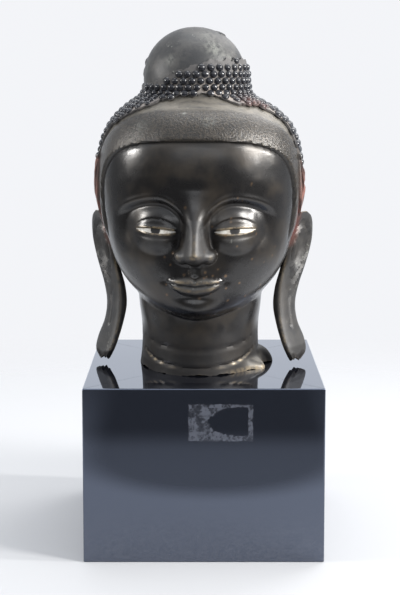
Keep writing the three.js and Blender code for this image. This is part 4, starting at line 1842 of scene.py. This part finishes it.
@dataclass
class Plinth:
    """The square block, with eased edges and a film of old adhesive on its front."""

    low: Vector
    high: Vector
    arris: float = 0.001
    arc_points: int = 5
    finish: PolishedBlackFinish = field(default_factory=PolishedBlackFinish)

    def section(self, inset: float, height: float) -> Array:
        """A square section with rounded corners.

        Args:
            inset: How far it is drawn in.
            height: Its z.

        Returns:
            Its points, anticlockwise from above.
        """
        points = []
        corners = ((1, 1, 0), (-1, 1, 90), (-1, -1, 180), (1, -1, 270))
        centre = (self.low + self.high) / 2
        half = (self.high - self.low) / 2
        for sx, sy, start in corners:
            cx = centre.x + sx * (half.x - self.arris)
            cy = centre.y + sy * (half.y - self.arris)
            turns = np.radians(start + np.linspace(0, 90, self.arc_points))
            reach = self.arris - inset
            arc = [(cx + reach * math.cos(turn), cy + reach * math.sin(turn), height) for turn in turns]
            before = (math.sin(turns[0]) * self.arris / 4, -math.cos(turns[0]) * self.arris / 4)
            after = (-math.sin(turns[-1]) * self.arris / 4, math.cos(turns[-1]) * self.arris / 4)
            points.append((arc[0][0] + before[0], arc[0][1] + before[1], height))
            points += arc
            points.append((arc[-1][0] + after[0], arc[-1][1] + after[1], height))
        return np.array(points)

    def build(self) -> bpy.types.Object:
        """Builds the block.

        Returns:
            The finished piece.
        """
        eased = np.radians(np.linspace(0, 90, self.arc_points))
        insets = self.arris * (1 - np.sin(eased))
        drops = self.arris * (1 - np.cos(eased))
        spare = self.arris / 4
        profile = [(insets[0] + spare, 0.0), *zip(insets, drops), (0.0, self.arris + spare)]
        rings = [self.section(inset, self.low.z + drop) for inset, drop in profile]
        rings += [self.section(inset, self.high.z - drop) for inset, drop in reversed(profile)]
        stack = np.stack(rings)
        points, faces = ring_solid(stack, stack[0].mean(0), stack[-1].mean(0))
        block = mesh_object("plinth_block", points, faces)
        block.data.materials.append(self.finish.material())
        shade(block.data, 40)
        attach(block, "root")
        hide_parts("plinth")
        return block


@dataclass(frozen=True)
class SoftBox:
    """A soft box that faces the head."""

    name: str
    place: tuple[float, float, float]
    size: tuple[float, float]
    watts: float
    colour: Colour
    target: tuple[float, float, float] = (0, 0, 0.3)

    def hang(self) -> None:
        """Adds the light to the scene."""
        data = bpy.data.lights.new(self.name, "AREA")
        data.shape = "RECTANGLE"
        data.size, data.size_y = self.size
        data.energy = self.watts
        data.color = self.colour
        made = bpy.data.objects.new(self.name, data)
        made.location = self.place
        aim = Vector(self.target) - Vector(self.place)
        made.rotation_euler = aim.to_track_quat("-Z", "Y").to_euler()
        bpy.context.scene.collection.objects.link(made)


@dataclass(frozen=True)
class Ramp:
    """How the surroundings' strength changes with a direction's part along one axis."""

    axis: str
    start: float
    end: float
    low: float
    high: float
    interpolation: str = "SMOOTHSTEP"

    def socket(self, tree: bpy.types.NodeTree, direction: bpy.types.Node) -> bpy.types.NodeSocket:
        """Adds the ramp to a node tree.

        Args:
            tree: The tree to add to.
            direction: The node with the direction's parts.

        Returns:
            The strength's socket.
        """
        made = tree.nodes.new("ShaderNodeMapRange")
        made.interpolation_type = self.interpolation
        made.inputs["From Min"].default_value = self.start
        made.inputs["From Max"].default_value = self.end
        made.inputs["To Min"].default_value = self.low
        made.inputs["To Max"].default_value = self.high
        tree.links.new(direction.outputs[self.axis], made.inputs["Value"])
        return made.outputs["Result"]


@dataclass
class Studio:
    """The pale floor, the soft light and the camera."""

    lens: float = 83.51
    shift: float = -0.16
    camera_place: tuple[float, float, float] = (-0.00315, -1.20968, 0.41712)
    pitch_degrees: float = 5.983
    floor_radius: float = 4.0
    floor_fade: tuple[float, float] = (0.32, 0.9)
    dim_x: float = 0.01
    dim_y: float = 0.42
    dim_reach: tuple[float, float] = (0.11, 0.17)
    far_reach: tuple[float, float] = (-0.52, -0.42)
    close_share: float = 0.65
    pale: Colour = (0.46, 0.466, 0.48)
    from_front: Ramp = Ramp("Y", -0.35, 0.3, 0.12, 0.5)
    from_behind: Ramp = Ramp("Y", 0.6, 0.92, 0.0, 0.9)
    from_left: Ramp = Ramp("X", -0.95, -0.3, 0.5, 1.0, "LINEAR")
    from_above: Ramp = Ramp("Z", -0.05, 0.8, 0.0, 0.95)
    sky: Colour = (0.9, 0.94, 1.0)
    backdrop: Colour = (0.9, 0.91, 0.94)
    soft_boxes: tuple[SoftBox, ...] = (
        SoftBox("key_light", (4.75, -0.58, 1.85), (0.12, 0.12), 170, (1.0, 0.98, 0.95)),
        SoftBox("rear_soft_box", (0.9, 1.0, 1.5), (0.9, 0.9), 12, (1.0, 0.98, 0.95)),
        SoftBox("right_soft_box", (1.25, -0.7, 0.9), (0.35, 0.6), 28, (1.0, 0.98, 0.95)),
        SoftBox("left_soft_box", (-1.45, -0.2, 0.75), (0.24, 0.3), 13, (1.0, 0.98, 0.95)),
        SoftBox("front_soft_box", (0.0, -2.2, 1.15), (2.0, 0.6), 7, (0.95, 0.97, 1.0)),
        SoftBox("top_soft_box", (0.1, 0.3, 1.9), (1.2, 0.8), 12, (1.0, 1.0, 1.0)),
    )

    def camera(self) -> None:
        """Places the camera at the photograph's viewing angle."""
        data = bpy.data.cameras.new("studio_camera")
        data.lens = self.lens
        data.sensor_width = 36
        data.shift_y = self.shift
        data.clip_end = 200
        made = bpy.data.objects.new("studio_camera", data)
        made.location = self.camera_place
        made.rotation_euler = Euler((math.radians(90 - self.pitch_degrees), 0, 0))
        bpy.context.scene.collection.objects.link(made)
        bpy.context.scene.camera = made

    @staticmethod
    def length(r: Recipe, x: bpy.types.NodeSocket, y: bpy.types.NodeSocket) -> bpy.types.NodeSocket:
        """The length of a level arrow with the given parts."""
        total = r.math("ADD", r.math("MULTIPLY", x, x), r.math("MULTIPLY", y, y))
        return r.math("SQRT", total, 0.0)

    def floor(self) -> None:
        """Lays the pale floor, which fades into the backdrop and gets dim towards the camera."""
        turns = np.linspace(0, 2 * np.pi, 96, endpoint=False)
        rim = np.stack([np.cos(turns), np.sin(turns), 0 * turns], -1) * self.floor_radius
        made = mesh_object("studio_floor", rim, [tuple(range(len(rim)))])
        r = Recipe("pale_floor")
        split = r.node("ShaderNodeSeparateXYZ")
        r.feed(split.inputs[0], r.place)
        x, y = split.outputs["X"], split.outputs["Y"]
        aside = r.math("SUBTRACT", x, self.dim_x)
        ahead = r.math("MAXIMUM", r.math("ADD", y, self.dim_y), 0.0)
        from_dim = self.length(r, aside, ahead)
        away = self.length(r, x, y)
        close = r.between(from_dim, *self.dim_reach)
        far = r.between(y, *self.far_reach)
        lit = r.blend(self.close_share, far, close)
        near = r.between(away, self.floor_fade[1], self.floor_fade[0])
        r.set(Base_Color=self.pale, Roughness=0.9)
        mix = r.node("ShaderNodeMixShader")
        r.feed(mix.inputs[0], r.math("MULTIPLY", lit, near))
        r.feed(mix.inputs[1], r.node("ShaderNodeBsdfTransparent").outputs[0])
        r.feed(mix.inputs[2], r.shader.outputs[0])
        r.feed(r.tree.nodes["Material Output"].inputs["Surface"], mix.outputs[0])
        made.data.materials.append(r.material)

    def world(self) -> None:
        """Surrounds the scene with pale light that is bright behind the head and dim before it."""
        world = bpy.data.worlds.new("studio_world")
        world.use_nodes = True
        tree = world.node_tree
        nodes, links = tree.nodes, tree.links
        nodes.clear()
        output = nodes.new("ShaderNodeOutputWorld")
        coordinate = nodes.new("ShaderNodeTexCoord")
        direction = nodes.new("ShaderNodeSeparateXYZ")
        links.new(coordinate.outputs["Generated"], direction.inputs[0])
        strength = self.from_front.socket(tree, direction)
        steps = (("ADD", self.from_behind), ("MULTIPLY", self.from_left), ("MAXIMUM", self.from_above))
        for operation, ramp in steps:
            joined = nodes.new("ShaderNodeMath")
            joined.operation = operation
            links.new(strength, joined.inputs[0])
            links.new(ramp.socket(tree, direction), joined.inputs[1])
            strength = joined.outputs[0]
        around = nodes.new("ShaderNodeBackground")
        around.inputs["Color"].default_value = (*self.sky, 1)
        links.new(strength, around.inputs["Strength"])
        plain = nodes.new("ShaderNodeBackground")
        plain.inputs["Color"].default_value = (*self.backdrop, 1)
        path = nodes.new("ShaderNodeLightPath")
        mix = nodes.new("ShaderNodeMixShader")
        links.new(path.outputs["Is Camera Ray"], mix.inputs["Fac"])
        links.new(around.outputs[0], mix.inputs[1])
        links.new(plain.outputs[0], mix.inputs[2])
        links.new(mix.outputs[0], output.inputs["Surface"])
        bpy.context.scene.world = world

    def build(self) -> None:
        """Sets up the whole studio."""
        bpy.context.scene.view_settings.view_transform = "Standard"
        self.camera()
        self.floor()
        self.world()
        for soft_box in self.soft_boxes:
            soft_box.hang()


def report(made: bpy.types.Object) -> None:
    """Reports a piece's size and number of faces."""
    size = made.dimensions * 1000
    LOG.info("%s: %.1f x %.1f x %.1f mm, %d faces", made.name, *size, len(made.data.polygons))


def main() -> None:
    """Builds every piece in order and sets up the studio."""
    logging.basicConfig(level=logging.INFO, format="%(name)s %(message)s", stream=sys.stdout)
    plinth_low, plinth_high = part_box("plinth")
    head_low, head_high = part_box("head")
    form = HeadForm(finger=(head_high.z - head_low.z) / FINGERS, base_z=plinth_high.z)
    report(CastHead(form).build())
    report(HairCurls(form).build())
    for side in Side:
        report(EyeInlay(form, side).build())
    report(Plinth(plinth_low, plinth_high).build())
    Studio().build()


if __name__ == "__main__":
    main()
